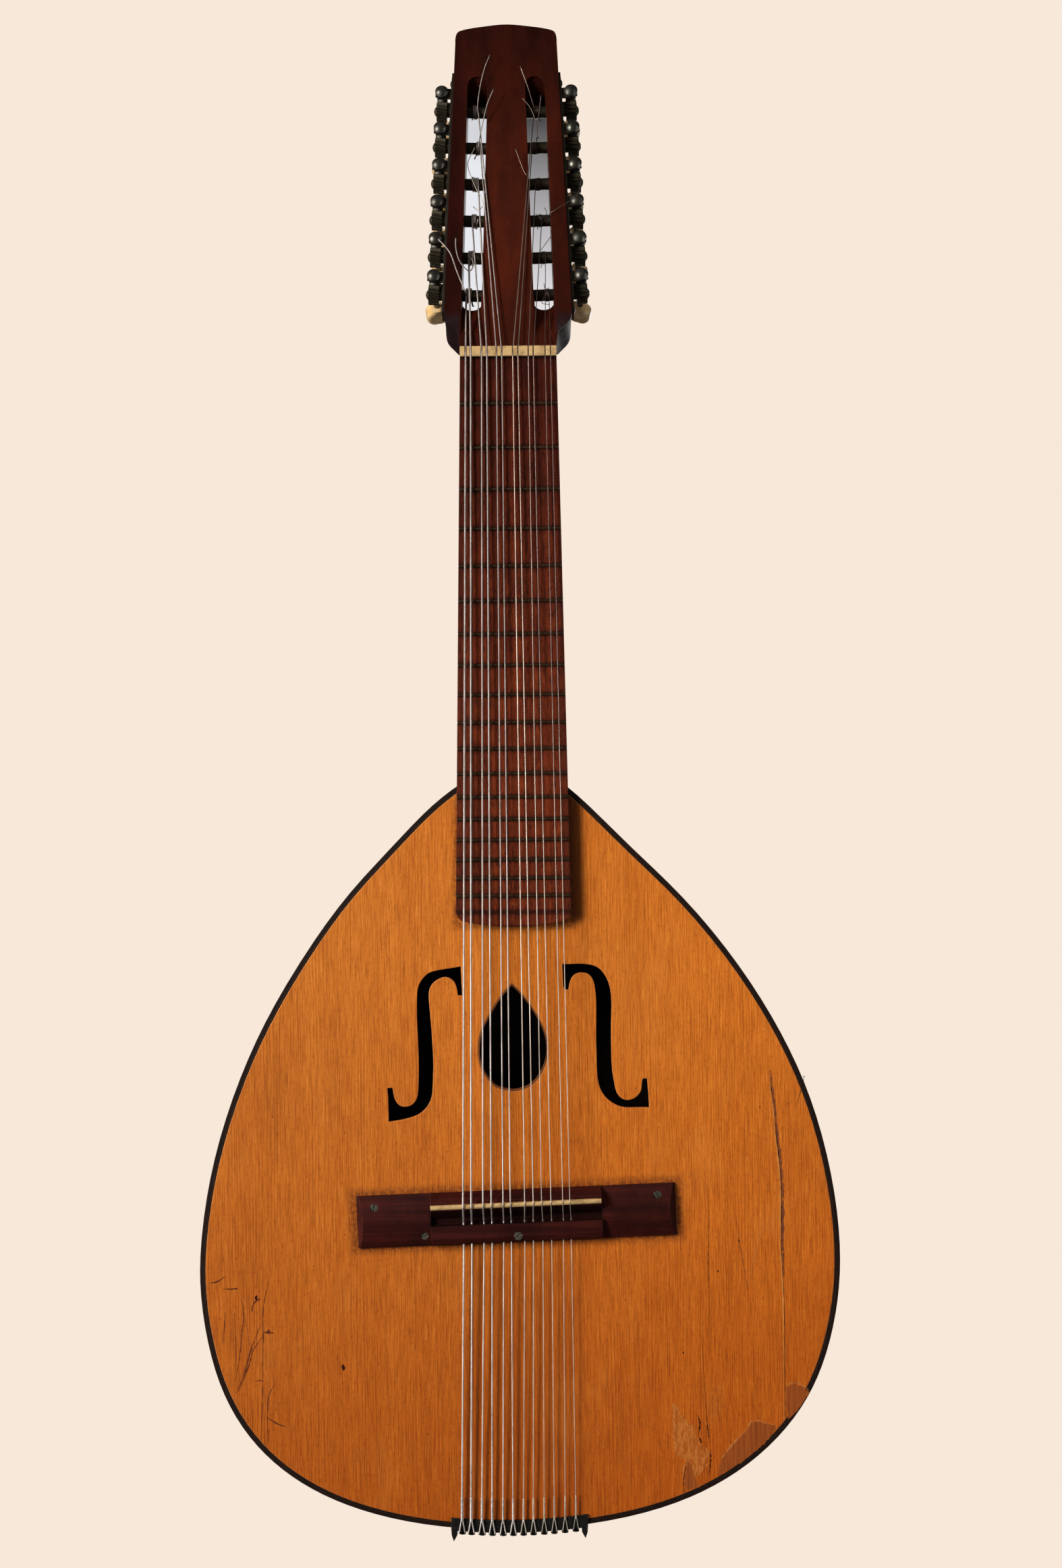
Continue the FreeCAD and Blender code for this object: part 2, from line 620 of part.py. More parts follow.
# Nut: a bar with twelve notches falling towards the head.
NUT_TOP = TOP + size.nut_height
NOTCH_FLOOR = NUT_TOP - 0.9
body = new_body("nut")
sketch = new_sketch(body, "nut_profile", plane="YZ_Plane")
add_polygon(sketch, [(NUT_Y, TOP), (NUT_BACK, TOP), (NUT_BACK, TOP + 6.9),
                     (NUT_Y + 2.4, NUT_TOP), (NUT_Y, NUT_TOP)])
pad(body, sketch, "nut_bar", "params.nut_width", Midplane=True)
notches = []
for x, diameter in zip(NUT_X, DIAMETER):
    half = diameter / 2 + 0.08
    notches.append(slab(upright(x - half, [
        (NUT_Y - 1, NOTCH_FLOOR), (NUT_Y + 1.0, NOTCH_FLOOR), (NUT_BACK + 1, NUT_TOP - 4.3),
        (NUT_BACK + 1, NUT_TOP + 2), (NUT_Y - 1, NUT_TOP + 2)]), Vector(2 * half, 0, 0)))
keep("nut", add_cut("nut_cut", body, "nut_notches", notches))

# ================================================================ bridge
# Bridge frame: origin on the soundboard, x along the bridge, y towards the head, z up.
BRIDGE_LOCAL = Placement(Vector(0, size.bridge_station, TOP), Rotation(Z_AXIS, size.bridge_angle))
BRIDGE = BENCH.multiply(BRIDGE_LOCAL)
BRIDGE_TURN = math.radians(size.bridge_angle)
BRIDGE_HALF = size.bridge_width / 2
SLOT_DEPTH = 4.0       # saddle slot below the bridge's top
# Screws in the bridge frame: x, y, head radius, z of the head's top, turn of the slot.
BRIDGE_SCREWS = [(0.6, -10.9, 2.4, 7.4, 40), (-83.9, 8.7, 2.2, 4.2, 75),
                 (-54.6, -9.2, 2.2, 4.1, 20), (83.8, 9.2, 2.2, 4.1, 120)]


def arched_section(y0, y1, z0, z_side, z_crest):
    """Upright (y, z) section with a flat foot and an arc on top."""
    foot_a, side_a, crest, side_b, foot_b = flat([
        (y0, z0), (y0, z_side), ((y0 + y1) / 2, z_crest), (y1, z_side), (y1, z0)])
    return [Part.LineSegment(foot_a, side_a), Part.Arc(side_a, crest, side_b),
            *lines([side_b, foot_b, foot_a])]


# Wings with bevelled ends.
body = new_body("bridge_bar", BRIDGE)
sketch = new_sketch(body, "wing_section", arched_section(-BRIDGE_HALF, BRIDGE_HALF, 0, 1.8, 5.6),
                    plane="YZ_Plane")
pad(body, sketch, "wings", "params.bridge_length", Midplane=True)
sketch = new_sketch(body, "wing_bevels", plane="XZ_Plane")
half = size.bridge_length / 2
for side in (-1, 1):
    add_polygon(sketch, [(side * (half + 1), -1), (side * (half + 1), 7),
                         (side * (half - 5.6), 7), (side * (half - 0.3), -1)])
pocket(body, sketch, "end_bevels", 60, Midplane=True)
# Middle block with its cross channel.
CHANNEL = [(-3.4, 7.6), (-3.0, 2.4), (0.2, 2.6), (4.0, 7.2)]
sketch = new_sketch(body, "block_section", plane="YZ_Plane")
add_polygon(sketch, [
    (-BRIDGE_HALF, 0), (-BRIDGE_HALF, 3.6), (-BRIDGE_HALF + 1.6, 6.2), (-BRIDGE_HALF + 4.5, 7.3),
    *CHANNEL, (6.2, size.bridge_height), (11.2, size.bridge_height), (13.6, 6.4),
    (BRIDGE_HALF, 2.4), (BRIDGE_HALF, 0)])
pad(body, sketch, "middle_block", "params.bridge_block_length", Midplane=True)
sketch = new_sketch(body, "string_channel", plane="YZ_Plane")
add_polygon(sketch, CHANNEL + [(4.0, 13.0), (-3.4, 13.0)])
pocket(body, sketch, "string_channel_cut", "params.bridge_block_length", Midplane=True)
sketch = new_sketch(body, "saddle_slot", z="params.bridge_height - %g" % SLOT_DEPTH)
add_rect(sketch, 0, size.saddle_seat, "saddle_length", "saddle_thickness")
pocket(body, sketch, "saddle_slot_cut", 10.0, Reversed=True)
# String holes from the tail side into the channel.
sketch = new_sketch(body, "string_holes", plane="XZ_Plane", z=BRIDGE_HALF + 1.0)
for x in HOLE_X:
    add_circle(sketch, x / math.cos(BRIDGE_TURN), size.string_hole_height, "string_hole_radius")
pocket(body, sketch, "string_holes_cut", BRIDGE_HALF + 1.0 - 2.6)
# Screw holes with sinks for the heads.
DRILL_Z = 12.0
sketch = new_sketch(body, "screw_holes", z=DRILL_Z)
for x, y, *_ in BRIDGE_SCREWS:
    add_circle(sketch, x, y, "screw_radius")
pocket(body, sketch, "screw_holes_cut", Type="ThroughAll")
for number, (x, y, radius, z, _) in enumerate(BRIDGE_SCREWS, start=1):
    sketch = new_sketch(body, "screw_sink_%d" % number, z=DRILL_Z)
    add_circle(sketch, x, y, radius + 0.1)
    pocket(body, sketch, "screw_sink_cut_%d" % number, DRILL_Z - (z - 1.1))
keep("bridge", body)

# Saddle: a strip with a rounded crest.
body = new_body("saddle", BRIDGE)
saddle_top = size.bridge_height + size.saddle_rise
sketch = new_sketch(body, "saddle_section", arched_section(
    size.saddle_seat - size.saddle_thickness / 2, size.saddle_seat + size.saddle_thickness / 2,
    size.bridge_height - SLOT_DEPTH, saddle_top - 0.8, saddle_top), plane="YZ_Plane")
pad(body, sketch, "saddle_strip", "params.saddle_length", Midplane=True)
keep("saddle", body)


def wood_screw(head_radius, head_height, shank_radius, shank_length, slot=0.7, dome=0.0):
    """Slotted screw with its head towards +z; the head's rim is at z = 0."""
    head = Part.makeCylinder(head_radius, head_height + dome, Vector(0, 0, -head_height))
    if dome > 0:
        ball = (head_radius ** 2 + dome ** 2) / (2 * dome)
        head = head.common(Part.makeSphere(ball, Vector(0, 0, dome - ball)))
    shank = Part.makeCylinder(shank_radius, shank_length,
                              Vector(0, 0, -head_height - shank_length))
    slot_floor = dome - 0.8 if dome else -0.6
    groove = Part.makeBox(2 * head_radius + 1, slot, 2,
                          Vector(-head_radius - 0.5, -slot / 2, slot_floor))
    return head.fuse(shank).cut(groove).removeSplitter().Solids[0]


bridge_screws = []
for x, y, radius, z, turn in BRIDGE_SCREWS:
    screw = wood_screw(radius, 1.08, size.screw_radius - SCREW_FIT, z + 0.9)
    screw.rotate(ORIGIN, Z_AXIS, turn)
    screw.translate(Vector(x, y, z))
    bridge_screws.append(screw)
keep_shape("bridge_screws", Part.makeCompound(bridge_screws), BRIDGE)

# ================================================================ tailpiece
# A metal plate bent over the edge of the soundboard at the tail.
METAL = size.tail_metal
METAL_INNER = -0.02                   # insets from the body outline
METAL_OUTER = METAL_INNER - METAL
HOOK_Z = TOP - 6.5
TAIL_SCREWS = [(-24.0, 59.5), (0.0, 59.5), (24.0, 59.5)]      # x, z
body = new_body("tailpiece_plate")
sketch = new_sketch(body, "tail_wall", ring_loop(METAL_INNER, METAL_OUTER, "tail"),
                    z="params.body_depth - params.tail_drop")
pad(body, sketch, "tail_wall_plate", "params.tail_drop + params.tail_metal")
sketch = new_sketch(body, "tail_lip", ring_loop(size.tail_lip, METAL_INNER - 0.5, "tail"),
                    z=TOP + 0.02)
pad(body, sketch, "tail_lip_plate", METAL - 0.02)

# Hooks with round heads, and a pointed claw at each end.
extras = []
for x in HOOK_X:
    y = tail_y(x, METAL_OUTER)
    tip = y - size.hook_reach
    for y0, y1, radius in ((y + 0.6, tip, size.hook_radius), (tip + 0.2, tip - 0.9, 2.0)):
        extras.append(rod_between(Vector(x, y0, HOOK_Z), Vector(x, y1, HOOK_Z), radius))
for side in (-1, 1):
    x = side * (size.tail_half_width - 1.9)
    y = tail_y(x, METAL_OUTER)
    claw = [(-1.9, 0.8), (1.9, 0.8), (1.7, -2.6), (side * 0.4, -6.4), (-1.7, -2.6)]
    extras.append(slab([Vector(x + dx, y + dy, TOP - 4) for dx, dy in claw],
                       Vector(0, 0, 4 + METAL)))
holes = []
for x, z in TAIL_SCREWS:
    y = tail_y(x, METAL_OUTER)
    for y0, y1, radius in ((y - 2, y + METAL + 1.5, size.screw_radius), (y, y - 3, 2.35)):
        holes.append(rod_between(Vector(x, y0, z), Vector(x, y1, z), radius))
fuse = doc.addObject("Part::MultiFuse", "tailpiece_fuse")
fuse.Shapes = [body] + [add_shape("tail_extra_%d" % i, e) for i, e in enumerate(extras)]
keep("tailpiece", add_cut("tailpiece_cut", fuse, "tail_screw_holes", holes))

# ================================================================ head
# Head frame: x to the treble side, y up the head, z out of its face.
HEAD_LOCAL = Placement(Vector(0, size.head_station, TOP + 3.0),
                       Rotation(X_AXIS, -size.head_tilt))
HEAD = BENCH.multiply(HEAD_LOCAL)
TO_HEAD = HEAD_LOCAL.inverse()
TAPER = 2.1            # taper of each side of the head, degrees
POST_Z = -10.0         # string posts run through the middle of the head's thickness
SLOT_TILT = 1.55       # lean of each string slot towards the centreline, degrees
SLOT_X = 22.3          # centre of a string slot at y = 0


def head_half(y):
    return 38.4 - math.tan(math.radians(TAPER)) * (y - 10.0)


# (x, y) of the shoulder at the foot of the head, at its face and at its rear.
FRONT_EAR = [(28.6, -1.5), (29.1, 2.5), (30.6, 7.6), (33.4, 10.6), (36.2, 13.6),
             (head_half(18.2), 18.2)]
BACK_EAR = [(28.3, 0.8), (30.6, 3.6), (33.0, 6.2), (36.2, 10.2), (37.5, 15.6),
            (head_half(23.5), 23.5)]


def head_wire(z, ear):
    """Head outline at depth z with the given shoulders."""
    tip = size.head_length
    side_end = tip - 13
    half = head_half(side_end)
    crown = [(half, side_end), (half - 0.3, tip - 8.2), (half - 1.7, tip - 5.2),
             (half - 4.6, tip - 3.8), (14, tip - 1.4)]
    crown += [(0, tip)] + [(-x, y) for x, y in reversed(crown)]
    right = flat([(ear[0][0], -16.0)] + ear + [(half, side_end)], z)
    left = [Vector(-p.x, p.y, p.z) for p in right]
    return sorted_wire([
        Part.LineSegment(right[0], right[1]), curve_through(right[1:7]),
        Part.LineSegment(right[6], right[7]), curve_through(flat(crown, z)),
        Part.LineSegment(left[7], left[6]), curve_through(left[6:0:-1]),
        Part.LineSegment(left[1], left[0]), Part.LineSegment(left[0], right[0])])


def slot_tool(side):
    """Round-ended string slot with a sloped upper end and a ramp down from the nut."""
    half, low, high = size.slot_width / 2, size.slot_low, size.slot_high
    low_left, high_left, high_right, low_right = flat([
        (-half, low + half), (-half, high - half), (half, high - half), (half, low + half)])
    face = Part.Face(sorted_wire([
        Part.LineSegment(low_left, high_left),
        Part.Arc(high_left, Vector(0, high, 0), high_right),
        Part.LineSegment(high_right, low_right),
        Part.Arc(low_right, Vector(0, low, 0), low_left)]))
    face.translate(Vector(0, 0, -30))
    tool = face.extrude(Vector(0, 0, 32))
    tool = tool.cut(slab(upright(-10, [
        (high + 1.5, 0.6), (high + 9, 0.6), (high + 9, -34), (high - 23.5, -34)]),
        Vector(20, 0, 0)))
    tool = tool.fuse(slab(upright(-half + 0.4, [(5.5, 0), (5.5, 2), (34, 2), (34, -9), (25, -6.8)]),
                          Vector(2 * half - 0.8, 0, 0)))
    tool.rotate(ORIGIN, Z_AXIS, side * SLOT_TILT)
    tool.translate(Vector(side * SLOT_X, 0, 0))
    return tool


def strip_frame(side, index):
    """Frame, in the head frame, of a post on the head's side: x across, y up the side."""
    rotation = Rotation(Z_AXIS, side * TAPER)
    first = Vector(side * head_half(size.post_first), size.post_first, POST_Z)
    return Placement(first + rotation.multVec(Vector(0, size.post_pitch * index, 0)), rotation)


POSTS = [(side, index) for side in (-1, 1) for index in range(6)]
bores = [placed(Part.makeCylinder(size.post_radius + size.bearing_gap, 26.4,
                                  Vector(0.5 * side, 0, 0), Vector(-side, 0, 0)),
                strip_frame(side, index)) for side, index in POSTS]
slots = [slot_tool(-1), slot_tool(1)]
# The head is spliced to the neck on the upright plane just behind the nut.
below = placed(Part.makeBox(200, 200, 200, Vector(-100, NUT_BACK - 200, -60)), TO_HEAD)

facing_depth = size.facing_thickness
core = Part.makeLoft([head_wire(-facing_depth, FRONT_EAR),
                      head_wire(-facing_depth - size.core_thickness, BACK_EAR)], True, True)
facing = Part.Face(head_wire(-facing_depth, FRONT_EAR)).extrude(Vector(0, 0, facing_depth))
core = core.cut(slots + bores + [below]).removeSplitter()
facing = facing.cut(slots + [below]).removeSplitter()
keep_shape("headstock", largest(core), HEAD)
keep_shape("head_facing", largest(facing), HEAD)

# ================================================================ tuning machines
LEAD = math.pi * size.gear_module
GEAR_RADIUS = size.gear_module * size.gear_teeth / 2
CENTRES = GEAR_RADIUS + size.worm_pitch_radius
ADDENDUM, DEDENDUM = 0.68, 0.95
TOOTH_HALF = LEAD / 4 - 0.20                      # at the pitch line, less the running gap
FLANK = math.tan(math.radians(20))
TIP_HALF = TOOTH_HALF - ADDENDUM * FLANK
GEAR_MID = size.gear_offset + size.gear_face / 2  # gear and worm, out from the head's side
LUG_OUT = size.lug_station + size.lug_thickness   # outer face of a lug, from the post's axis
# y of the plate screws in the frame of the first post.
PLATE_SCREWS = [-10.5, 5 * size.post_pitch + 19.5]
PLATE_SCREWS += [size.post_pitch * (i + 0.66) for i in range(5)]


def machine_plate(side):
    """Strip with a stepped upper end and twelve bent lugs that carry the worms."""
    half, reach = size.plate_width / 2, size.lug_reach
    low, high = -14.0, 5 * size.post_pitch + 27.0
    edge = [(low, half - 3), (low + 3, half), (high - 12, half), (high - 10, half - 2.6),
            (high - 7, half - 3.2), (high - 5, half - 5.4), (high - 1.5, half - 6)]
    edge += [(high, 0)] + [(y, -z) for y, z in reversed(edge)]
    strip = slab(upright(0, edge), Vector(side * size.plate_thickness, 0, 0))
    lugs, cuts = [], []
    for i in range(6):
        y = size.post_pitch * i
        cuts.append(Part.makeCylinder(size.journal_radius + size.bearing_gap, 10,
                                      Vector(-5, y, 0), X_AXIS))
        y += CENTRES
        for z in (size.lug_station, -LUG_OUT):
            lug = Part.makeBox(reach, 6.6, size.lug_thickness,
                               Vector(min(0, side * reach), y - 3.3, z))
            for corner_y in (y + 2.2, y - 5.2):
                lug = lug.cut(Part.makeBox(3, 3, 4, Vector(side * reach - 1.5, corner_y, z - 1)))
            lugs.append(lug)
        cuts.append(Part.makeCylinder(size.worm_shaft_radius + size.bearing_gap, 30,
                                      Vector(side * GEAR_MID, y, -15), Z_AXIS))
    for y in PLATE_SCREWS:
        cuts.append(Part.makeCylinder(size.screw_radius, 10, Vector(-5, y, 0), X_AXIS))
    shape = strip.fuse(lugs).cut(cuts).removeSplitter()
    shape.translate(Vector(side * 0.02, 0, 0))
    return largest(shape)


for side, tag in ((-1, "bass"), (1, "treble")):
    keep_shape("machine_plate_" + tag, machine_plate(side), HEAD.multiply(strip_frame(side, 0)))


def fixing_screw(shank_length):
    return wood_screw(2.2, 0.26, size.screw_radius - SCREW_FIT, shank_length, slot=0.6, dome=0.9)


# Plate screws and their pilot holes in the head.
pilots, screws = [], []
for side in (-1, 1):
    frame = strip_frame(side, 0)
    outward = Rotation(Z_AXIS, Vector(side, 0, 0))
    for y in PLATE_SCREWS:
        pilots.append(placed(Part.makeCylinder(
            size.screw_radius, 7.2, Vector(side * 0.2, y, 0), Vector(-side, 0, 0)), frame))
        seat = Placement(Vector(side * (size.plate_thickness + 0.27), y, 0),
                         outward.multiply(Rotation(Z_AXIS, 37.0 * y)))
        screws.append(placed(fixing_screw(7.4), HEAD.multiply(frame.multiply(seat))))
drill("headstock", pilots)

# The tailpiece screws share the node with the plate screws.
for x, z in TAIL_SCREWS:
    seat = Placement(Vector(x, tail_y(x, METAL_OUTER) - 0.27, z), Rotation(Z_AXIS, -Y_AXIS))
    screws.append(placed(fixing_screw(9.0), BENCH.multiply(seat)))
keep_shape("fixing_screws", Part.makeCompound(screws), Placement())

# Pilot holes for the tailpiece screws in the tail block and the ribs.
drills = [rod_between(Vector(x, tail_y(x) - 3, z), Vector(x, tail_y(x) + 8.4, z),
                      size.screw_radius) for x, z in TAIL_SCREWS]
drill("tail_block", drills)
drill("rib_bass", drills[:2])
drill("rib_treble", drills[1:])
# Pilot holes for the bridge screws in the soundboard.
drill("soundboard", [rod_between(BRIDGE_LOCAL.multVec(Vector(x, y, 1)),
                                 BRIDGE_LOCAL.multVec(Vector(x, y, -5)), size.screw_radius)
                     for x, y, *_ in BRIDGE_SCREWS])


def gear_blank():
    """Toothed wheel, axis along x, teeth leaning to suit the worm."""
    half_face = size.gear_face / 2
    root, tip = GEAR_RADIUS - DEDENDUM, GEAR_RADIUS + ADDENDUM
    sunk = 0.3         # teeth start this far inside the root circle
    root_half = TOOTH_HALF + (DEDENDUM + sunk) * FLANK
    profile = [(-root_half, root - sunk), (-TIP_HALF, tip), (TIP_HALF, tip),
               (root_half, root - sunk)]
    lean = half_face * LEAD / (2 * math.pi * size.worm_pitch_radius)
    wheel = Part.makeCylinder(root, size.gear_face, Vector(-half_face, 0, 0), X_AXIS)
    teeth = []
    for number in range(int(size.gear_teeth)):
        ends = [polygon([Vector(end * half_face, y, z + end * lean) for z, y in profile])
                for end in (-1, 1)]
        tooth = Part.makeLoft(ends, True, True)
        tooth.rotate(ORIGIN, X_AXIS, 360.0 * number / int(size.gear_teeth))
        teeth.append(tooth)
    return wheel.fuse(teeth).removeSplitter()


def worm_shape():
    """Worm, its shaft and the domed cap at the +z end; axis along z, wheel on the -y side."""
    inner, outer = 1.2, size.worm_pitch_radius + ADDENDUM
    turns = 3.5
    start = -turns / 2 * LEAD
    helix = Part.makeHelix(LEAD, turns * LEAD, 1.5)
    helix.rotate(ORIGIN, Z_AXIS, 180)
    helix.translate(Vector(0, 0, start))
    root_half = TOOTH_HALF + (size.worm_pitch_radius - inner) * FLANK
    profile = polygon([Vector(-x, 0, start + z) for x, z in (
        (inner, -root_half), (outer, -TIP_HALF), (outer, TIP_HALF), (inner, root_half))])
    thread = Part.Wire(helix.Edges).makePipeShell([profile], True, True)

    # Shaft with a collar under the lower lug and the cap above the upper one.
    radius, cap, collar = size.worm_shaft_radius, size.cap_radius, 2.7
    cap_z, end = LUG_OUT + 0.25, -size.worm_shaft_end
    collar_z0, collar_z1 = -LUG_OUT - 1.3, -LUG_OUT - 0.2
    points = [Vector(x, 0, z) for x, z in (
        (0, end), (radius, end), (radius, collar_z0), (collar, collar_z0), (collar, collar_z1),
        (radius, collar_z1), (radius, cap_z), (cap - 0.5, cap_z), (cap, cap_z + 0.5),
        (cap, cap_z + 1.9))]
    rise = 2.0
    ball = (cap ** 2 + rise ** 2) / (2 * rise)
    top = cap_z + 1.9 + rise
    angle = 0.5 * math.asin(cap / ball)
    middle = Vector(ball * math.sin(angle), 0, top - ball + ball * math.cos(angle))
    crest = Vector(0, 0, top)
    section = wire_of(lines(points) + [Part.Arc(points[-1], middle, crest),
                                       Part.LineSegment(crest, points[0])])
    worm = Part.Face(section).revolve(ORIGIN, Z_AXIS, 360)
    return largest(worm.fuse(thread).removeSplitter())


GEAR = gear_blank()
WORM = worm_shape()


def post_shapes(side, index, string_x):
    """Post, wheel and wheel screw of one machine, in the strip frame."""
    inward = Vector(-side, 0, 0)
    out_end = size.gear_offset + size.gear_face
    shoulder = Vector(-side * 0.1, 0, 0)
    barrel = Part.makeCylinder(size.post_radius, 25.8, shoulder, inward)
    journal = Part.makeCylinder(size.journal_radius, out_end + 0.1, shoulder, -inward)
    post = barrel.fuse(journal).removeSplitter()
    post = post.cut(Part.makeCylinder(0.9, 6.0, Vector(side * out_end, 0, 0), inward))
    post = post.cut(Part.makeCylinder(0.8, 10, Vector(string_x, -5, 0), Y_AXIS))
    wheel = GEAR.copy()
    wheel.translate(Vector(side * GEAR_MID, 0, 0))
    overlap = 0.5      # hub runs this far into the wheel
    hub = Part.makeCylinder(3.4, size.gear_offset - size.plate_thickness - 0.15 + overlap,
                            Vector(side * (size.gear_offset + overlap), 0, 0), inward)
    bore = Part.makeCylinder(size.journal_radius, 20, Vector(-10, 0, 0), X_AXIS)
    wheel = wheel.fuse(hub).cut(bore).removeSplitter()
    turn = Rotation(Z_AXIS, -inward).multiply(Rotation(Z_AXIS, 50.0 * index + 20))
    screw = placed(wood_screw(2.9, 0.32, 0.88, 4.5, slot=0.7, dome=1.3),
                   Placement(Vector(side * (out_end + 0.32), 0, 0), turn))
    return [largest(post), largest(wheel), screw]


def button(name, placement):
    """Finger button: a flattened, waisted paddle with rounded edges, bored for its shaft."""
    body = new_body(name, placement)
    top, half = -size.button_station, size.button_width / 2
    end = top - size.button_length
    neck_half = 3.2
    profile = [(neck_half, top), (3.6, top - 1.6), (5.9, top - 4.2), (half, top - 8.8),
               (half - 0.3, end + 4.4), (4.6, end + 0.9), (0, end)]
    sketch = new_sketch(body, name + "_face", [
        curve_through(flat(profile)), curve_through(flat([(-x, z) for x, z in profile])),
        *lines(flat([(-neck_half, top), (neck_half, top)]))], plane="XZ_Plane")
    blank = pad(body, sketch, name + "_blank", "params.button_thickness", Midplane=True)
    doc.recompute()
    fillet = body.newObject("PartDesign::Fillet", name + "_round")
    # The curved edges of the two faces are rounded.
    edges = ["Edge%d" % number for number, edge in enumerate(blank.Shape.Edges, start=1)
             if edge.BoundBox.YLength < 1e-6 and edge.Curve.TypeId != "Part::GeomLine"]
    fillet.Base = (blank, edges)
    fillet.Radius = 2.6
    sketch = new_sketch(body, name + "_bore_sketch", z=top + 1)
    add_circle(sketch, 0, 0, "worm_shaft_radius")
    pocket(body, sketch, name + "_bore", size.worm_shaft_end - size.button_station + 1)
    return body


# Turn of each button about its shaft, lowest machine first, degrees.
BUTTON_TURN = {-1: [12.0, 64.0, -38.0, 80.0, 25.0, -70.0],
               1: [-20.0, 52.0, 28.0, -62.0, 75.0, 40.0]}
for side, index in POSTS:
    local = strip_frame(side, index)
    frame = HEAD.multiply(local)
    # The outermost string of a side goes to its lowest post.
    string = index if side < 0 else 11 - index
    string_x = local.inverse().multVec(Vector(POST_X[string], local.Base.y, POST_Z)).x
    tag = "%s_%d" % ("bass" if side < 0 else "treble", index + 1)
    keep_shape("post_" + tag, Part.makeCompound(post_shapes(side, index, string_x)), frame)
    worm_frame = frame.multiply(Placement(Vector(side * GEAR_MID, CENTRES, 0), Rotation()))
    keep_shape("worm_" + tag, WORM.copy(), worm_frame)
    turn = Placement(ORIGIN, Rotation(Z_AXIS, BUTTON_TURN[side][index]))
    keep("button_" + tag, button("button_" + tag, worm_frame.multiply(turn)))


# ================================================================ strings
def bridge_point(x, y_local, z_local):
    """The point at bench x that lies y_local from the bridge's long axis."""
    y = size.bridge_station + y_local / math.cos(BRIDGE_TURN) + x * math.tan(BRIDGE_TURN)
    return Vector(x, y, TOP + z_local)


def bent_path(points, radii):
    """Curves of the path through the points with each inner corner rounded to its radius."""
    curves, last = [], points[0]
    for before, corner, after, radius in zip(points, points[1:], points[2:], radii):
        back, ahead = (before - corner).normalize(), (after - corner).normalize()
        half = math.acos(max(-1.0, min(1.0, back.dot(ahead)))) / 2
        if half > math.pi / 2 - 1e-3:
            continue
        reach = radius / math.tan(half)
        start, stop = corner + back * reach, corner + ahead * reach
        middle = corner + (back + ahead).normalize() * (radius / math.sin(half) - radius)
        curves += [Part.LineSegment(last, start), Part.Arc(start, middle, stop)]
        last = stop
    return curves + [Part.LineSegment(last, points[-1])]


def sweep(path, points, radius):
    """Round rod along a path that sets out from the first point towards the second."""
    ring = Part.Wire([Part.makeCircle(radius, points[0], points[1] - points[0])])
    return wire_of(path).makePipeShell([ring], True, False)


def slot_bend(nut, centre, post_x, radius, bearing):
    """Where an inner string bears on the edge of its slot, in the head frame, or None."""
    for step in range(320):
        y = step * 0.5
        part = (y - nut.y) / (centre.y - nut.y)
        x = nut.x + (post_x - nut.x) * part
        z = nut.z + (centre.z + bearing - nut.z) * part
        wall = SLOT_X - math.tan(math.radians(SLOT_TILT)) * y - size.slot_width / 2 + 0.5
        if y > 12.0 and abs(x) > wall + 0.3 * radius:
            rests = z < radius + 0.12 and abs(nut.x) < 14.0
            return Vector(x, y, radius + 0.15) if rests else None
    return None


def head_run(k, radius, nut):
    """Bench points of string k from its post up to, not including, the nut."""
    side, index = (-1, k) if k < 6 else (1, 11 - k)
    frame = strip_frame(side, index)
    post_axis = frame.Rotation.multVec(X_AXIS)
    centre = frame.Base + post_axis * ((POST_X[k] - frame.Base.x) / post_axis.x)
    nut = TO_HEAD.multVec(nut)
    bearing = size.post_radius + radius + 0.03
    bend = slot_bend(nut, centre, POST_X[k], radius, bearing)
    # The string leaves the post along the tangent to its top.
    source = bend or nut
    dy, dz = centre.y - source.y, centre.z - source.z
    distance = math.hypot(dy, dz)
    angle = math.atan2(dz, dy) + math.asin(bearing / distance)
    length = math.sqrt(distance ** 2 - bearing ** 2)
    run = [Vector(POST_X[k], source.y + length * math.cos(angle),
                  source.z + length * math.sin(angle))]
    if bend:
        run.append(bend)
    return [HEAD_LOCAL.multVec(point) for point in run]


def hook_loop(x, lip_y, join_z, radius):
    """Loop of the string over the tailpiece's edge and round its hook."""
    half = size.hook_radius + radius + 0.15
    y, z = lip_y - radius - 0.4, TOP + METAL + radius + 0.4
    corner = [radius + 0.45]
    left = [Vector(x - 0.12, lip_y + 8.5, join_z), Vector(x - half, y, z),
            Vector(x - half, y, HOOK_Z)]
    right = [Vector(x + half, y, HOOK_Z), Vector(x + half, y, z),
             Vector(x + 0.12, lip_y + 8.5, join_z)]
    turn = Part.Arc(left[-1], Vector(x, y, HOOK_Z - half), right[0])
    path = bent_path(left, corner) + [turn] + bent_path(right, corner)
    return sweep(path, left, radius)


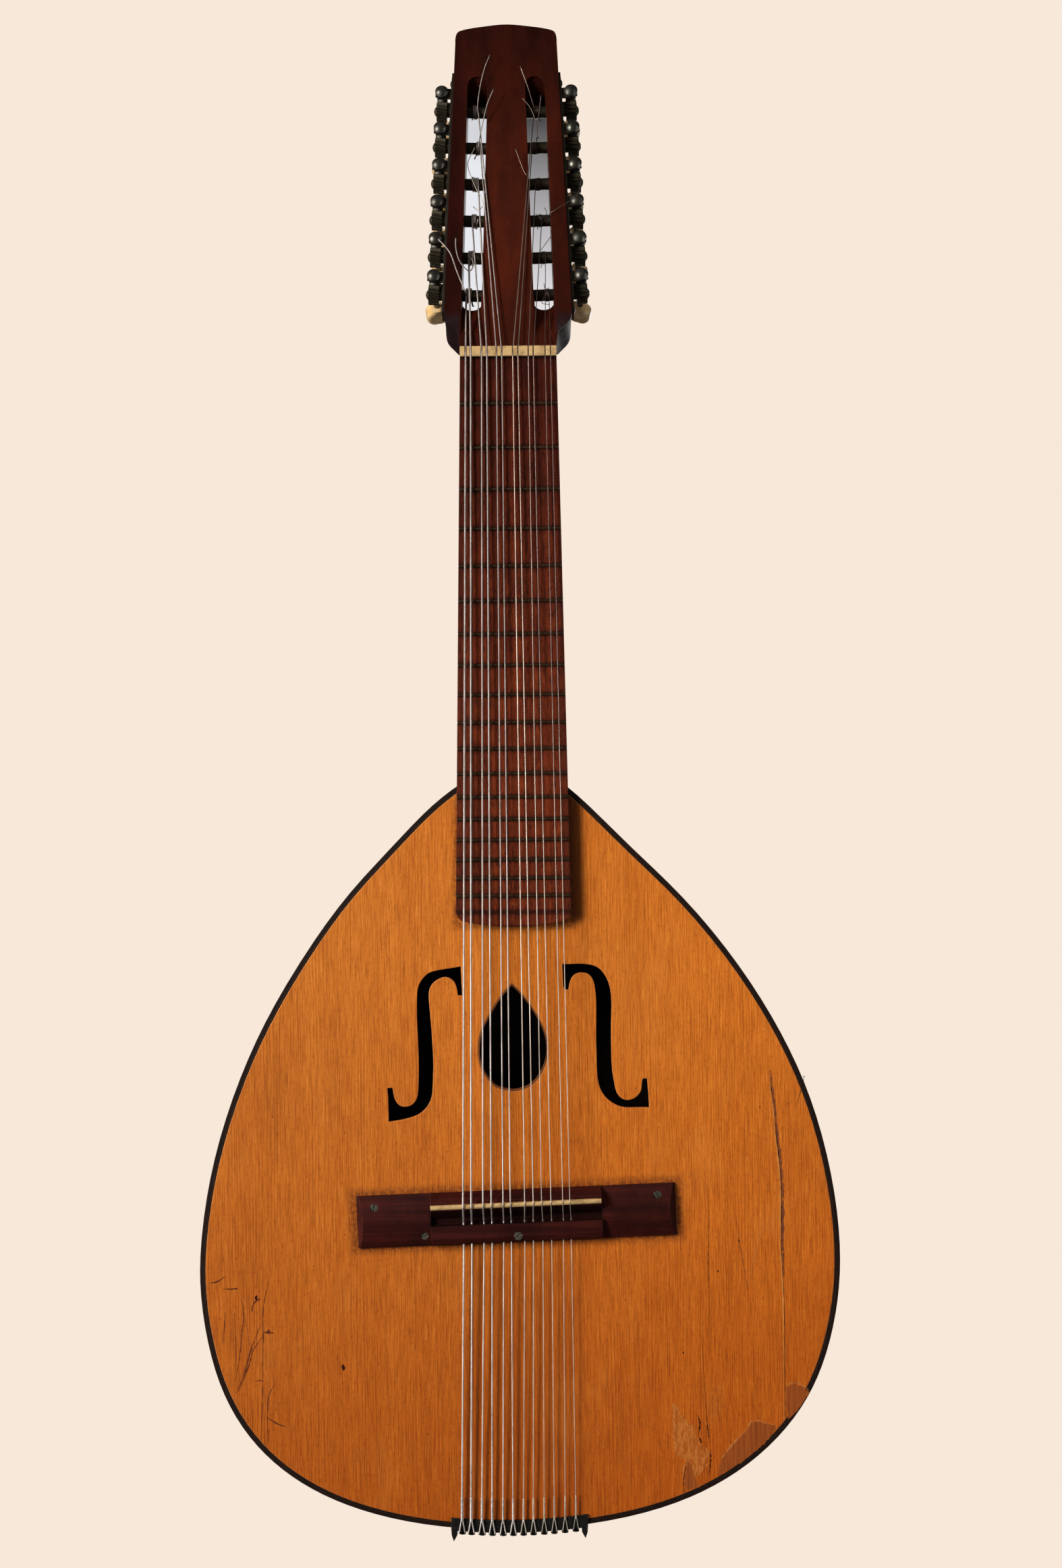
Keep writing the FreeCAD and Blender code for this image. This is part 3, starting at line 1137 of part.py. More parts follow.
COLLAR = 0.28          # the twist before the loop is this much thicker, in radius
strings = []
grooves = {"nut": [], "saddle": [], "head_facing": [], "bridge": []}
for k in range(12):
    radius = DIAMETER[k] / 2
    nut = Vector(NUT_X[k], NUT_Y + 1.6, NOTCH_FLOOR + radius + 0.02)
    lip_y = tail_y(HOOK_X[k], METAL_OUTER)
    collar_z = TOP + METAL + radius + COLLAR
    split = Vector(HOOK_X[k], lip_y + 7.0, collar_z + 0.2)
    twist = Vector(HOOK_X[k] + (REAR_X[k] - HOOK_X[k]) * 0.06, lip_y + 20.0, collar_z + 0.4)
    run = head_run(k, radius, nut)
    radii = [8.0] * (len(run) - 1) + [3.0, 1.6, 1.6, 3.0, 3.0]
    run += [nut,
            bridge_point(SADDLE_X[k], size.saddle_seat, saddle_top + radius + 0.05),
            bridge_point(HOLE_X[k], -1.9, size.string_hole_height + 0.25),
            bridge_point(HOLE_X[k], -BRIDGE_HALF - 1.2, size.string_hole_height),
            twist, split]
    path = bent_path(run, radii)
    main = sweep(path, run, radius)
    along = (split - twist).normalize()
    collar = rod_between(twist + along * 2.0, split + along * 0.4, radius + COLLAR)
    tie = hook_loop(HOOK_X[k], lip_y, split.z, min(radius, 0.42))
    # The collar's seam is turned until the fusion gives one valid solid.
    for turn in (0.0, 33.0, 71.0, 119.0):
        grip = collar.copy()
        grip.rotate(twist, along, turn)
        joined = main.fuse(grip).fuse(tie)
        string = largest(joined)
        if len(joined.Solids) == 1 and string.isValid():
            break
    strings.append(string)
    # Wherever a string bears it lies in a groove of its own.
    groove = sweep(path, run, radius + 0.05)
    stood = placed(string.copy(), BENCH)
    for host in grooves:
        if parts[host].Shape.common(stood).Volume > 1e-4:
            grooves[host].append(groove)
keep_shape("wound_strings", Part.makeCompound(strings[:6]))
keep_shape("plain_strings", Part.makeCompound(strings[6:]))
for host, tools in grooves.items():
    if tools:
        cut = add_cut(host + "_grooved", parts[host], host + "_grooves", tools)
        parts[host].Label = host + "_plain"
        keep(host, cut)

# ================================================================ check and export
doc.recompute()
bad = [o.Name for o in doc.Objects if any(state in ("Invalid", "Error") for state in o.State)]
if bad:
    raise SystemExit("failed objects: %s" % bad)
for name, obj in sorted(parts.items()):
    if obj.Shape.isNull() or not obj.Shape.isValid() or not obj.Shape.Solids:
        raise SystemExit("bad shape: %s" % name)

os.makedirs("parts", exist_ok=True)
for name, obj in sorted(parts.items()):
    obj.Shape.exportStep("parts/%s.step" % name)
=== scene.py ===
"""Looks for a twelve-string flat-backed lute: materials, string ends, wear, light and camera.

Row frame, metres: +Z up the neck, the soundboard faces -Y, +X is the treble side, and the
origin lies on the back's outer face.
"""
import json
import math
import random

import bpy
import numpy as np
from mathutils import Matrix, Vector


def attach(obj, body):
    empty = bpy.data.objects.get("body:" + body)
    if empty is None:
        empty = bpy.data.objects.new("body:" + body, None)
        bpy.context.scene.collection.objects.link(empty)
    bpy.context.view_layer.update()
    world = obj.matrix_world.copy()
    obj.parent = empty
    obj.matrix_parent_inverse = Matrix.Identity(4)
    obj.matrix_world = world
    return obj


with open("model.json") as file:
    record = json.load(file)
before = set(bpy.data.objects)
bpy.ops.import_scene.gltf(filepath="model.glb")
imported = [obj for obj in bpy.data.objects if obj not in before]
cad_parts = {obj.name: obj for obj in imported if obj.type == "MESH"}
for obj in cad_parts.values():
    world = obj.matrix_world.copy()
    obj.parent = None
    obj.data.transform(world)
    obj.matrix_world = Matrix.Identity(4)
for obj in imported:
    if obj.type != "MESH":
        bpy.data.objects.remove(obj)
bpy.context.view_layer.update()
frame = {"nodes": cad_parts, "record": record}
nodes = frame["nodes"]


scene = bpy.context.scene

# Metres, for places named inside the materials.
NUT_Z = 0.5352
STRING_LENGTH = 0.4918           # open string length that spaces the frets
BRIDGE_Z = 0.0276                # bridge centre
BRIDGE_TURN = math.radians(1.95)
BACK_INNER_Y = -0.0026           # inner face of the back
RING_PITCH = 0.00155             # mean spacing of the soundboard's annual rings


def srgb(*channels):
    """Linear colour from 0-255 sRGB channels."""
    shares = [c / 255.0 for c in channels]
    linear = [v / 12.92 if v <= 0.04045 else ((v + 0.055) / 1.055) ** 2.4 for v in shares]
    return (*linear, 1.0)


def tone(colour, gain):
    return (*[c * gain for c in colour[:3]], 1.0)


# ------------------------------------------------------------------ node helper
class Mat:
    """Builds a shader from node calls; self.colour is the base colour painted so far."""

    def __init__(self, name):
        self.material = bpy.data.materials.new(name)
        self.material.use_nodes = True
        self.tree = self.material.node_tree
        self.tree.nodes.clear()
        self.out = self.new("ShaderNodeOutputMaterial")
        self.position = self.new("ShaderNodeTexCoord").outputs["Object"]
        self.split = None
        self.colour = None

    def new(self, kind):
        return self.tree.nodes.new(kind)

    def put(self, socket, value):
        """Link a socket, or set a plain value."""
        if isinstance(value, bpy.types.NodeSocket):
            self.tree.links.new(value, socket)
        else:
            socket.default_value = value

    @property
    def xyz(self):
        if self.split is None:
            node = self.new("ShaderNodeSeparateXYZ")
            self.put(node.inputs[0], self.position)
            self.split = tuple(node.outputs)
        return self.split

    def math(self, operation, first, second=None):
        node = self.new("ShaderNodeMath")
        node.operation = operation
        self.put(node.inputs[0], first)
        if second is not None:
            self.put(node.inputs[1], second)
        return node.outputs[0]

    def add(self, first, second):
        return self.math("ADD", first, second)

    def sub(self, first, second):
        return self.math("SUBTRACT", first, second)

    def mul(self, product, *factors):
        for factor in factors:
            product = self.math("MULTIPLY", product, factor)
        return product

    def most(self, first, second):
        return self.math("MAXIMUM", first, second)

    def size(self, value):
        return self.math("ABSOLUTE", value)

    def vector_math(self, operation, first, second=None, output="Vector"):
        node = self.new("ShaderNodeVectorMath")
        node.operation = operation
        self.put(node.inputs[0], first)
        if second is not None:
            self.put(node.inputs[1], second)
        return node.outputs[output]

    def vec(self, x, y, z):
        node = self.new("ShaderNodeCombineXYZ")
        for socket, value in zip(node.inputs, (x, y, z)):
            self.put(socket, value)
        return node.outputs[0]

    def noise(self, vector=None, scale=1.0, detail=3.0, rough=0.6, distortion=0.0):
        node = self.new("ShaderNodeTexNoise")
        self.put(node.inputs["Vector"], vector or self.position)
        node.inputs["Scale"].default_value = scale
        node.inputs["Detail"].default_value = detail
        node.inputs["Roughness"].default_value = rough
        node.inputs["Distortion"].default_value = distortion
        return node.outputs[0]

    def cloud(self, scales, shift=(0, 0, 0), **look):
        """Noise over the object's own axes, with a scale for each."""
        node = self.new("ShaderNodeMapping")
        self.put(node.inputs["Vector"], self.position)
        node.inputs["Scale"].default_value = scales
        node.inputs["Location"].default_value = shift
        return self.noise(node.outputs[0], **look)

    def grain(self, axes, scales, **look):
        """Noise over the given axis values, each times its scale; 0 leaves an axis out."""
        parts = [self.mul(axis, scale) if scale else 0.0 for axis, scale in zip(axes, scales)]
        return self.noise(self.vec(*parts), **look)

    def wobble(self, noise, reach):
        """Noise centred on zero, times a reach."""
        return self.mul(self.sub(noise, 0.5), reach)

    def ramp(self, value, start, end, to=(0.0, 1.0), linear=False):
        """Take value from start..end to the range in to, held level beyond both ends."""
        node = self.new("ShaderNodeMapRange")
        node.interpolation_type = "LINEAR" if linear else "SMOOTHSTEP"
        self.put(node.inputs["Value"], value)
        node.inputs["From Min"].default_value = start
        node.inputs["From Max"].default_value = end
        node.inputs["To Min"].default_value = to[0]
        node.inputs["To Max"].default_value = to[1]
        return node.outputs["Result"]

    def mix(self, amount, under, over, mode="MIX"):
        node = self.new("ShaderNodeMix")
        node.data_type = "RGBA"
        node.blend_type = mode
        node.clamp_factor = True
        self.put(node.inputs["Factor"], amount)
        first, second = [i for i in node.inputs if i.type == "RGBA"]
        self.put(first, under)
        self.put(second, over)
        return [o for o in node.outputs if o.type == "RGBA"][0]

    def paint(self, colour, amount):
        """Lay a colour over what is painted so far."""
        self.colour = self.mix(amount, self.colour, colour)

    def stain(self, colour, amount):
        """Multiply what is painted so far by a colour."""
        self.paint(self.mix(1.0, self.colour, colour, "MULTIPLY"), amount)

    def bump(self, height, strength, distance, normal=None):
        node = self.new("ShaderNodeBump")
        node.inputs["Strength"].default_value = strength
        node.inputs["Distance"].default_value = distance
        self.put(node.inputs["Height"], height)
        if normal is not None:
            self.put(node.inputs["Normal"], normal)
        return node.outputs[0]

    def bevel(self, radius):
        node = self.new("ShaderNodeBevel")
        node.samples = 4
        node.inputs["Radius"].default_value = radius
        return node.outputs[0]

    def edge(self, bevel, start=0.02, end=0.35):
        """1 along sharp edges, 0 on the flats."""
        flat = self.new("ShaderNodeNewGeometry").outputs["Normal"]
        match = self.vector_math("DOT_PRODUCT", bevel, flat, "Value")
        return self.ramp(self.sub(1.0, match), start, end)

    def surface(self, rough, metallic=0.0, normal=None, coat=0.0, coat_rough=0.15,
                spec=0.5, subsurface=None, alpha=None):
        shader = self.new("ShaderNodeBsdfPrincipled")
        values = {"Base Color": self.colour, "Roughness": rough, "Metallic": metallic,
                  "Specular IOR Level": spec, "Coat Weight": coat,
                  "Coat Roughness": coat_rough}
        if subsurface is not None:
            values["Subsurface Weight"] = subsurface
            values["Subsurface Radius"] = (0.002, 0.001, 0.0006)
            values["Subsurface Scale"] = 1.0
        if normal is not None:
            values["Normal"] = normal
        if alpha is not None:
            values["Alpha"] = alpha
        for key, value in values.items():
            self.put(shader.inputs[key], value)
        self.put(self.out.inputs["Surface"], shader.outputs[0])
        return self.material


# ------------------------------------------------------------------ soundboard
def spruce_figure(mat, axes, fine, mottle, dark):
    """Annual rings, fibres and flecks."""
    # Thin dark late-wood lines, unevenly spaced, fading in and out along the grain.
    drift = mat.grain(mat.xyz, (38, 0, 0.9))
    phase = mat.add(mat.mul(axes[0], 2 * math.pi / RING_PITCH), mat.mul(drift, 52.0))
    uneven = mat.grain(axes, (1500, 0, 5), detail=2, rough=0.5)
    ring = mat.ramp(mat.add(mat.math("SINE", phase, 0.0), mat.wobble(uneven, 3.2)), 0.20, 1.50)
    fade = mat.grain(mat.xyz, (60, 0, 26))
    ring = mat.mul(ring, mat.ramp(fade, 0.32, 0.62, to=(0.25, 1.0)))
    fleck = mat.ramp(mat.grain(axes, (1800, 0, 190), detail=2, rough=0.5), 0.63, 0.75)
    wide = mat.grain(axes, (45, 0, 2))

    mat.colour = srgb(217, 124, 42)
    mat.paint(srgb(207, 115, 37), mat.ramp(wide, 0.32, 0.70))
    mat.paint(dark, mat.mul(ring, 0.58))
    mat.paint(dark, mat.ramp(fine, 0.44, 0.70, to=(0.0, 0.66)))
    mat.paint(srgb(240, 160, 74), mat.ramp(fine, 0.28, 0.46, to=(0.55, 0.0)))
    mat.paint(dark, mat.ramp(mottle, 0.50, 0.70, to=(0.0, 0.36)))
    mat.paint(srgb(92, 38, 12), mat.mul(fleck, 0.60))


def aged_varnish_and_string_shadow(mat, axes, dark):
    """Varnish darkened towards the tail and the treble side, and a band under the strings below
    the bridge that is partly dirt and partly painted shadow of the strings.
    """
    x, y, z = mat.xyz
    mat.stain(srgb(226, 200, 168), mat.ramp(z, 0.16, -0.15, linear=True))
    treble = mat.ramp(x, -0.06, 0.14, linear=True)
    mat.stain(srgb(252, 238, 196), mat.mul(treble, 0.55))
    # Band under the strings from the bridge to the tail: dirt, with streaks of painted string
    # shadow.
    off_strings = mat.size(mat.add(x, -0.002))
    under = mat.mul(mat.ramp(off_strings, 0.052, 0.022), mat.ramp(z, 0.012, -0.010))
    string_shadow_stripes = mat.ramp(mat.grain(axes, (300, 0, 2), detail=2, rough=0.5), 0.35, 0.65)
    mat.paint(srgb(122, 58, 22), mat.mul(under, mat.add(0.08, mat.mul(string_shadow_stripes, 0.34))))
    blotches = mat.cloud((8, 8, 6), shift=(0.4, 0, 1.3), detail=4)
    mat.paint(dark, mat.ramp(blotches, 0.44, 0.74, to=(0.0, 0.16)))
    haze = mat.cloud((34, 34, 15), shift=(2, 0, 5), detail=5, rough=0.62)
    mat.paint(srgb(230, 150, 66), mat.ramp(haze, 0.30, 0.48, to=(0.09, 0.0)))


def grime_and_board_shadow(mat):
    """Grime round the bridge and along the fingerboard, and a painted shadow of the fingerboard
    beside it.
    """
    x, y, z = mat.xyz
    cos, sin = math.cos(BRIDGE_TURN), math.sin(BRIDGE_TURN)
    above = mat.add(z, -BRIDGE_Z)
    across = mat.add(mat.mul(x, cos), mat.mul(above, sin))
    along = mat.sub(mat.mul(above, cos), mat.mul(x, sin))
    # Distance outside the bridge's half length and half width.
    gap = mat.most(mat.sub(mat.size(across), 0.0955), mat.sub(mat.size(along), 0.0154))
    dirt = mat.noise(scale=420, detail=4, rough=0.65)
    grime = mat.mul(mat.ramp(gap, 0.0066, 0.0004), mat.ramp(dirt, 0.30, 0.66, to=(0.30, 1.0)))
    # Distance outside the fingerboard, whose half width narrows to the nut.
    half = mat.ramp(z, 0.199, NUT_Z, to=(0.0342, 0.0285), linear=True)
    gap = mat.most(mat.sub(mat.size(x), half), mat.sub(0.1995, z))
    board_grime = mat.mul(mat.ramp(gap, 0.0042, 0.0004),
                          mat.ramp(dirt, 0.32, 0.68, to=(0.2, 0.9)))
    mat.paint(srgb(72, 30, 18), mat.mul(mat.most(grime, board_grime), 0.72))
    # Painted shadow of the fingerboard: the varnish beside the board on the treble side is
    # painted dark.
    past = mat.sub(x, half)
    beside = mat.mul(mat.ramp(past, -0.001, 0.0005), mat.ramp(past, 0.0115, 0.0035))
    span = mat.mul(mat.ramp(z, 0.197, 0.206), mat.ramp(z, 0.31, 0.285))
    mat.paint(srgb(66, 26, 11), mat.mul(beside, span, 0.80))


def spruce(name):
    """Straight-grained softwood under aged amber varnish."""
    mat = Mat(name)
    x, y, z = mat.xyz
    dark = srgb(134, 60, 17)
    broad = mat.cloud((11, 11, 2.4), detail=2, rough=0.5)
    narrow = mat.cloud((90, 90, 9), shift=(3.1, 0, 0), detail=2, rough=0.5)
    warped = mat.add(x, mat.add(mat.wobble(broad, 0.005), mat.wobble(narrow, 0.0011)))
    axes = (warped, y, z)
    fine = mat.grain(axes, (1700, 800, 60), detail=5, rough=0.7)
    mottle = mat.grain(axes, (700, 0, 330), detail=4, rough=0.65)
    spruce_figure(mat, axes, fine, mottle, dark)
    aged_varnish_and_string_shadow(mat, axes, dark)
    grime_and_board_shadow(mat)
    # Brighter towards the treble side.
    level = mat.ramp(x, -0.16, 0.16, to=(0.90, 1.16), linear=True)
    mat.colour = mat.mix(1.0, mat.colour, mat.vec(level, level, level), "MULTIPLY")
    bevel = mat.bevel(0.0007)
    # Lighter colour along sharp edges such as the holes' rims: partly worn edges, partly a
    # painted highlight where the rims catch the light.
    mat.paint(srgb(250, 184, 118), mat.mul(mat.edge(bevel, start=0.05, end=0.4), 0.75))
    height = mat.add(mat.mul(fine, 0.6), mat.mul(mottle, 0.5))
    waves = mat.cloud((30, 30, 9), rough=0.5)
    normal = mat.bump(mat.add(mat.mul(height, 0.35), waves),
                      strength=0.4, distance=0.0004, normal=bevel)
    rough = mat.add(0.34, mat.mul(mat.ramp(fine, 0.3, 0.7), 0.14))
    return mat.surface(rough, normal=normal, coat=0.05, coat_rough=0.2, spec=0.14)


# ------------------------------------------------------------------ hardwoods
def fret_dirt(mat, cloud):
    """Dirt lies against each fret, and the board darkens towards its rims and the nut."""
    x, y, z = mat.xyz
    # Sounding share of the string, then the fret number counted down from the nut.
    share = mat.sub(1.0, mat.math("DIVIDE", mat.sub(NUT_Z, z), STRING_LENGTH))
    fret = mat.mul(mat.math("LOGARITHM", share, 2.0), -12.0)
    part = mat.math("FRACT", fret)
    near = mat.math("MINIMUM", part, mat.sub(1.0, part))
    near = mat.mul(near, mat.mul(share, 28.0))
    near = mat.add(near, mat.wobble(mat.noise(scale=300, detail=4), 2.4))
    worn = mat.ramp(mat.cloud((110, 110, 40), detail=4, rough=0.65), 0.46, 0.68)
    mat.paint(srgb(146, 64, 28), mat.mul(worn, mat.ramp(near, 2.0, 5.0, to=(0.0, 0.5))))
    dash = mat.grain(mat.xyz, (1500, 0, 150))
    mat.paint(srgb(20, 8, 6), mat.ramp(dash, 0.50, 0.66, to=(0.0, 0.72)))
    mat.paint(srgb(24, 10, 8), mat.ramp(near, 2.6, 0.5, to=(0.0, 0.78)))
    mat.paint(srgb(44, 18, 12), mat.ramp(mat.size(x), 0.024, 0.031, to=(0.0, 0.40)))
    mat.stain(srgb(158, 140, 150), mat.ramp(z, 0.28, 0.50, to=(0.0, 0.95), linear=True))


def head_ears(mat, cloud):
    """Painted blue-black sheen on the carved ears at the head's foot, standing for their
    reflection; darker top and sides.
    """
    x, y, z = mat.xyz
    ear_sheen = mat.mix(mat.ramp(cloud, 0.35, 0.65), srgb(64, 58, 64), srgb(34, 26, 28))
    mat.paint(ear_sheen, mat.mul(mat.ramp(mat.size(x), 0.0282, 0.0296),
                              mat.ramp(z, 0.566, 0.558), mat.ramp(y, -0.0788, -0.0776), 0.7))
    # Darker towards the top and both sides; on the treble side this is painted shade along the
    # head's right edge.
    top = mat.ramp(z, 0.63, 0.75, to=(0.0, 0.85), linear=True)
    sides = mat.most(mat.ramp(x, 0.012, 0.036, to=(0.0, 0.65), linear=True),
                     mat.ramp(x, -0.010, -0.030, to=(0.0, 0.95), linear=True))
    mat.stain(srgb(150, 128, 128), mat.most(top, sides))


def bridge_trough_shade(mat, cloud):
    """Painted shade blackens the trough behind the saddle."""
    x, y, z = mat.xyz
    along = mat.sub(mat.add(z, -BRIDGE_Z), mat.mul(x, 0.034))
    mat.paint(srgb(12, 5, 4), mat.mul(mat.ramp(along, -0.0045, -0.0030),
                                      mat.ramp(along, 0.0066, 0.0052),
                                      mat.ramp(mat.size(x), 0.0525, 0.0500), 0.72))


def hole_ring(mat, cloud):
    """The ring let in round the drop-shaped hole is of paler wood than the edging."""
    x, y, z = mat.xyz
    mat.paint(srgb(126, 72, 36), mat.mul(mat.ramp(mat.size(x), 0.040, 0.036),
                                         mat.ramp(z, 0.190, 0.180),
                                         mat.ramp(z, 0.080, 0.090), 0.75))


def box_inside_shade(mat, cloud):
    """Painted shade on the back's inner face, inside the box."""
    mat.paint(srgb(20, 11, 7), mat.ramp(mat.xyz[1], BACK_INNER_Y + 0.0002, BACK_INNER_Y))


def hardwood(name, light, mid, dark, rough, along="z", streak=1.0, coat=0.04, spec=0.14,
             wear=None, wear_amount=0.6, pores=0.5, mottling=0.25, bevel=0.0005, local=None):
    """Open-grained hardwood running along one axis; wear colours its rubbed edges."""
    mat = Mat(name)
    x, y, z = mat.xyz
    length, across = (x, z) if along == "x" else (z, x)
    warp = mat.grain((across, y, length), (18, 18, 4), detail=2, rough=0.5)
    axes = (mat.add(across, mat.wobble(warp, 0.006)), y, length)
    bands = mat.grain(axes, (240 * streak, 200 * streak, 3))
    fine = mat.grain(axes, (1600, 1500, 30))
    pore = mat.ramp(mat.grain(axes, (2600, 2600, 170), detail=2, rough=0.5), 0.60, 0.72)
    cloud = mat.cloud((40, 40, 22), detail=4)
    mat.colour = srgb(*light)
    dark = srgb(*dark)
    mat.paint(srgb(*mid), mat.ramp(bands, 0.32, 0.68))
    mat.paint(dark, mat.ramp(fine, 0.45, 0.8, to=(0.0, 0.6)))
    mat.paint(tone(dark, 0.5), mat.mul(pore, pores))
    mat.paint(dark, mat.ramp(cloud, 0.40, 0.70, to=(0.0, mottling)))
    rounded = mat.bevel(bevel)
    if wear is not None:
        rub = mat.ramp(mat.cloud((120, 120, 90), detail=4), 0.38, 0.62)
        mat.paint(srgb(*wear), mat.mul(mat.edge(rounded), rub, wear_amount))
    if local is not None:
        local(mat, cloud)
    height = mat.add(mat.mul(fine, 0.5), mat.mul(pore, -0.8))
    normal = mat.bump(height, strength=0.25, distance=0.00015, normal=rounded)
    rough = mat.add(rough, mat.mul(mat.ramp(fine, 0.3, 0.7), 0.15))
    return mat.surface(rough, normal=normal, coat=coat, coat_rough=0.25, spec=spec)


# ------------------------------------------------------------------ metal, bone and celluloid
def metal(name, base, dark, rough, bright, scale=260.0):
    """Tarnished metal: bright on rubbed edges, dull and dark in the hollows."""
    mat = Mat(name)
    tarnish = mat.noise(scale=scale, detail=5, rough=0.65)
    fine = mat.noise(scale=scale * 5.0)
    mat.colour = srgb(*base)
    mat.paint(srgb(*dark), mat.ramp(tarnish, 0.35, 0.62, to=(0.0, 0.6)))
    bevel = mat.bevel(0.00025)
    mat.paint(srgb(*bright), mat.mul(mat.edge(bevel), mat.ramp(fine, 0.3, 0.6)))
    rough = mat.add(rough, mat.mul(mat.ramp(tarnish, 0.3, 0.7), 0.25))
    normal = mat.bump(fine, strength=0.15, distance=0.00005, normal=bevel)
    metallic = mat.sub(0.9, mat.ramp(tarnish, 0.45, 0.75, to=(0.0, 0.35)))
    return mat.surface(rough, metallic=metallic, normal=normal)


def wire(name, base, dark, rough, pitch=None):
    """Bright drawn wire, or close-wound wire when a pitch is given."""
    mat = Mat(name)
    x, y, z = mat.xyz
    mat.colour = srgb(*base)
    mat.paint(srgb(*dark), mat.ramp(mat.cloud((400, 400, 60)), 0.35, 0.7, to=(0.0, 0.5)))
    # Wire darker over the fingerboard and the head than past the bridge, less so on the bass
    # side; the treble wires darker again from the fingerboard upwards.
    dull = mat.mul(mat.ramp(z, 0.18, 0.46, to=(0.0, 0.92), linear=True),
                   mat.ramp(x, -0.016, 0.004, to=(0.62, 1.0), linear=True))
    mat.stain(srgb(166, 150, 146), dull)
    treble = mat.mul(mat.ramp(z, 0.16, 0.36, linear=True),
                     mat.ramp(x, 0.004, 0.018, to=(0.0, 0.9), linear=True))
    mat.stain(srgb(142, 132, 142), treble)
    normal = None
    if pitch:
        turns = mat.size(mat.math("SINE", mat.mul(z, math.pi / pitch)))
        normal = mat.bump(turns, strength=0.6, distance=0.00012)
    return mat.surface(rough, metallic=0.62, normal=normal)


def bone(name):
    mat = Mat(name)
    base = srgb(202, 166, 112)
    mat.colour = base
    streak = mat.grain(mat.xyz, (90, 500, 500))
    mat.paint(tone(base, 0.72), mat.ramp(streak, 0.35, 0.7, to=(0.0, 0.5)))
    blotches = mat.noise(scale=220, detail=4)
    mat.paint(srgb(122, 88, 52), mat.ramp(blotches, 0.46, 0.66, to=(0.0, 0.55)))
    bevel = mat.bevel(0.0005)
    mat.paint(tone(base, 1.25), mat.mul(mat.edge(bevel), 0.25))
    return mat.surface(0.42, normal=bevel, coat=0.1, coat_rough=0.3)


def celluloid(name):
    mat = Mat(name)
    mat.colour = srgb(236, 202, 150)
    swirl = mat.cloud((140, 140, 140), rough=0.5, distortion=1.2)
    mat.paint(srgb(216, 172, 112), mat.ramp(swirl, 0.35, 0.65))
    blotches = mat.noise(scale=90, detail=4)
    mat.paint(srgb(178, 128, 76), mat.ramp(blotches, 0.5, 0.72, to=(0.0, 0.5)))
    specks = mat.noise(scale=1400, detail=2, rough=0.5)
    mat.paint(srgb(120, 84, 52), mat.ramp(specks, 0.68, 0.74, to=(0.0, 0.4)))
    return mat.surface(0.3, normal=mat.bevel(0.0008), coat=0.25, coat_rough=0.12,
                       subsurface=0.06)


# Colours are sRGB 0-255: light, mid and dark for wood; base and dark for metal and wire.
MATERIALS = {
    "top_wood": spruce("varnished_top"),
    "edge_wood": hardwood(
        "dark_edging", (36, 22, 16), (28, 17, 12), (12, 8, 6), rough=0.4,
        wear=(122, 78, 46), wear_amount=0.5, bevel=0.0004, local=hole_ring),
    "rib_wood": hardwood(
        "rib_hardwood", (122, 66, 34), (100, 50, 26), (56, 26, 14), rough=0.36,
        streak=0.7, coat=0.1, wear=(150, 100, 62), bevel=0.0006),
    "back_wood": hardwood(
        "back_hardwood", (126, 68, 36), (104, 52, 28), (60, 28, 15), rough=0.36,
        streak=0.5, coat=0.1, wear=(150, 100, 62), bevel=0.0006, local=box_inside_shade),
    "inner_wood": hardwood(
        "bare_softwood", (44, 30, 20), (36, 24, 16), (24, 15, 10), rough=0.8,
        coat=0.0, spec=0.035),
    "neck_wood": hardwood(
        "neck_hardwood", (86, 38, 22), (70, 29, 16), (36, 14, 8), rough=0.36,
        streak=0.8, coat=0.08, wear=(122, 72, 44)),
    "head_wood": hardwood(
        "head_hardwood", (76, 25, 9), (60, 19, 7), (28, 8, 4), rough=0.46,
        streak=0.4, coat=0.012, spec=0.07, wear=(118, 66, 42), wear_amount=0.5,
        pores=0.3, mottling=0.45, local=head_ears),
    "board_wood": hardwood(
        "fingerboard_hardwood", (128, 52, 24), (96, 36, 18), (32, 11, 6), rough=0.46,
        streak=1.4, coat=0.02, spec=0.077, wear=(132, 72, 46), wear_amount=0.35,
        pores=0.7, mottling=0.35, local=fret_dirt),
    "bridge_wood": hardwood(
        "bridge_hardwood", (70, 23, 17), (50, 14, 10), (18, 5, 4), rough=0.50,
        along="x", coat=0.012, spec=0.077, wear=(126, 74, 54), wear_amount=0.7,
        mottling=0.5, bevel=0.0006, local=bridge_trough_shade),
    "bone": bone("aged_bone"),
    "button_cream": celluloid("cream_buttons"),
    "plate_metal": metal(
        "machine_plates", (74, 66, 56), (26, 22, 18), rough=0.42, bright=(128, 118, 98)),
    "post_metal": metal(
        "posts_and_wheels", (84, 76, 60), (24, 20, 15), rough=0.34, bright=(150, 138, 108)),
    "worm_metal": metal(
        "worms_and_shafts", (92, 88, 80), (30, 27, 23), rough=0.26, bright=(160, 154, 140)),
    "screw_metal": metal(
        "slotted_screws", (120, 116, 104), (52, 46, 38), rough=0.34, bright=(180, 172, 154)),
    "tail_metal": metal(
        "tail_steel", (58, 56, 52), (22, 20, 18), rough=0.36, bright=(126, 122, 112)),
    "fret_metal": metal(
        "fret_wire", (106, 80, 56), (40, 26, 18), rough=0.28, bright=(170, 144, 112),
        scale=500.0),
    "wound_wire": wire(
        "wound_wire", (216, 206, 198), (112, 104, 96), rough=0.34, pitch=0.00045),
    "plain_wire": wire("plain_wire", (240, 226, 206), (122, 112, 102), rough=0.30),
}

slots = {s["node"]: s["material_slot"] for s in frame["record"]["subparts"]}
for name, obj in nodes.items():
    obj.data.materials.clear()
    obj.data.materials.append(MATERIALS[slots[name]])


# ------------------------------------------------------------------ geometry helpers
MM = 0.001


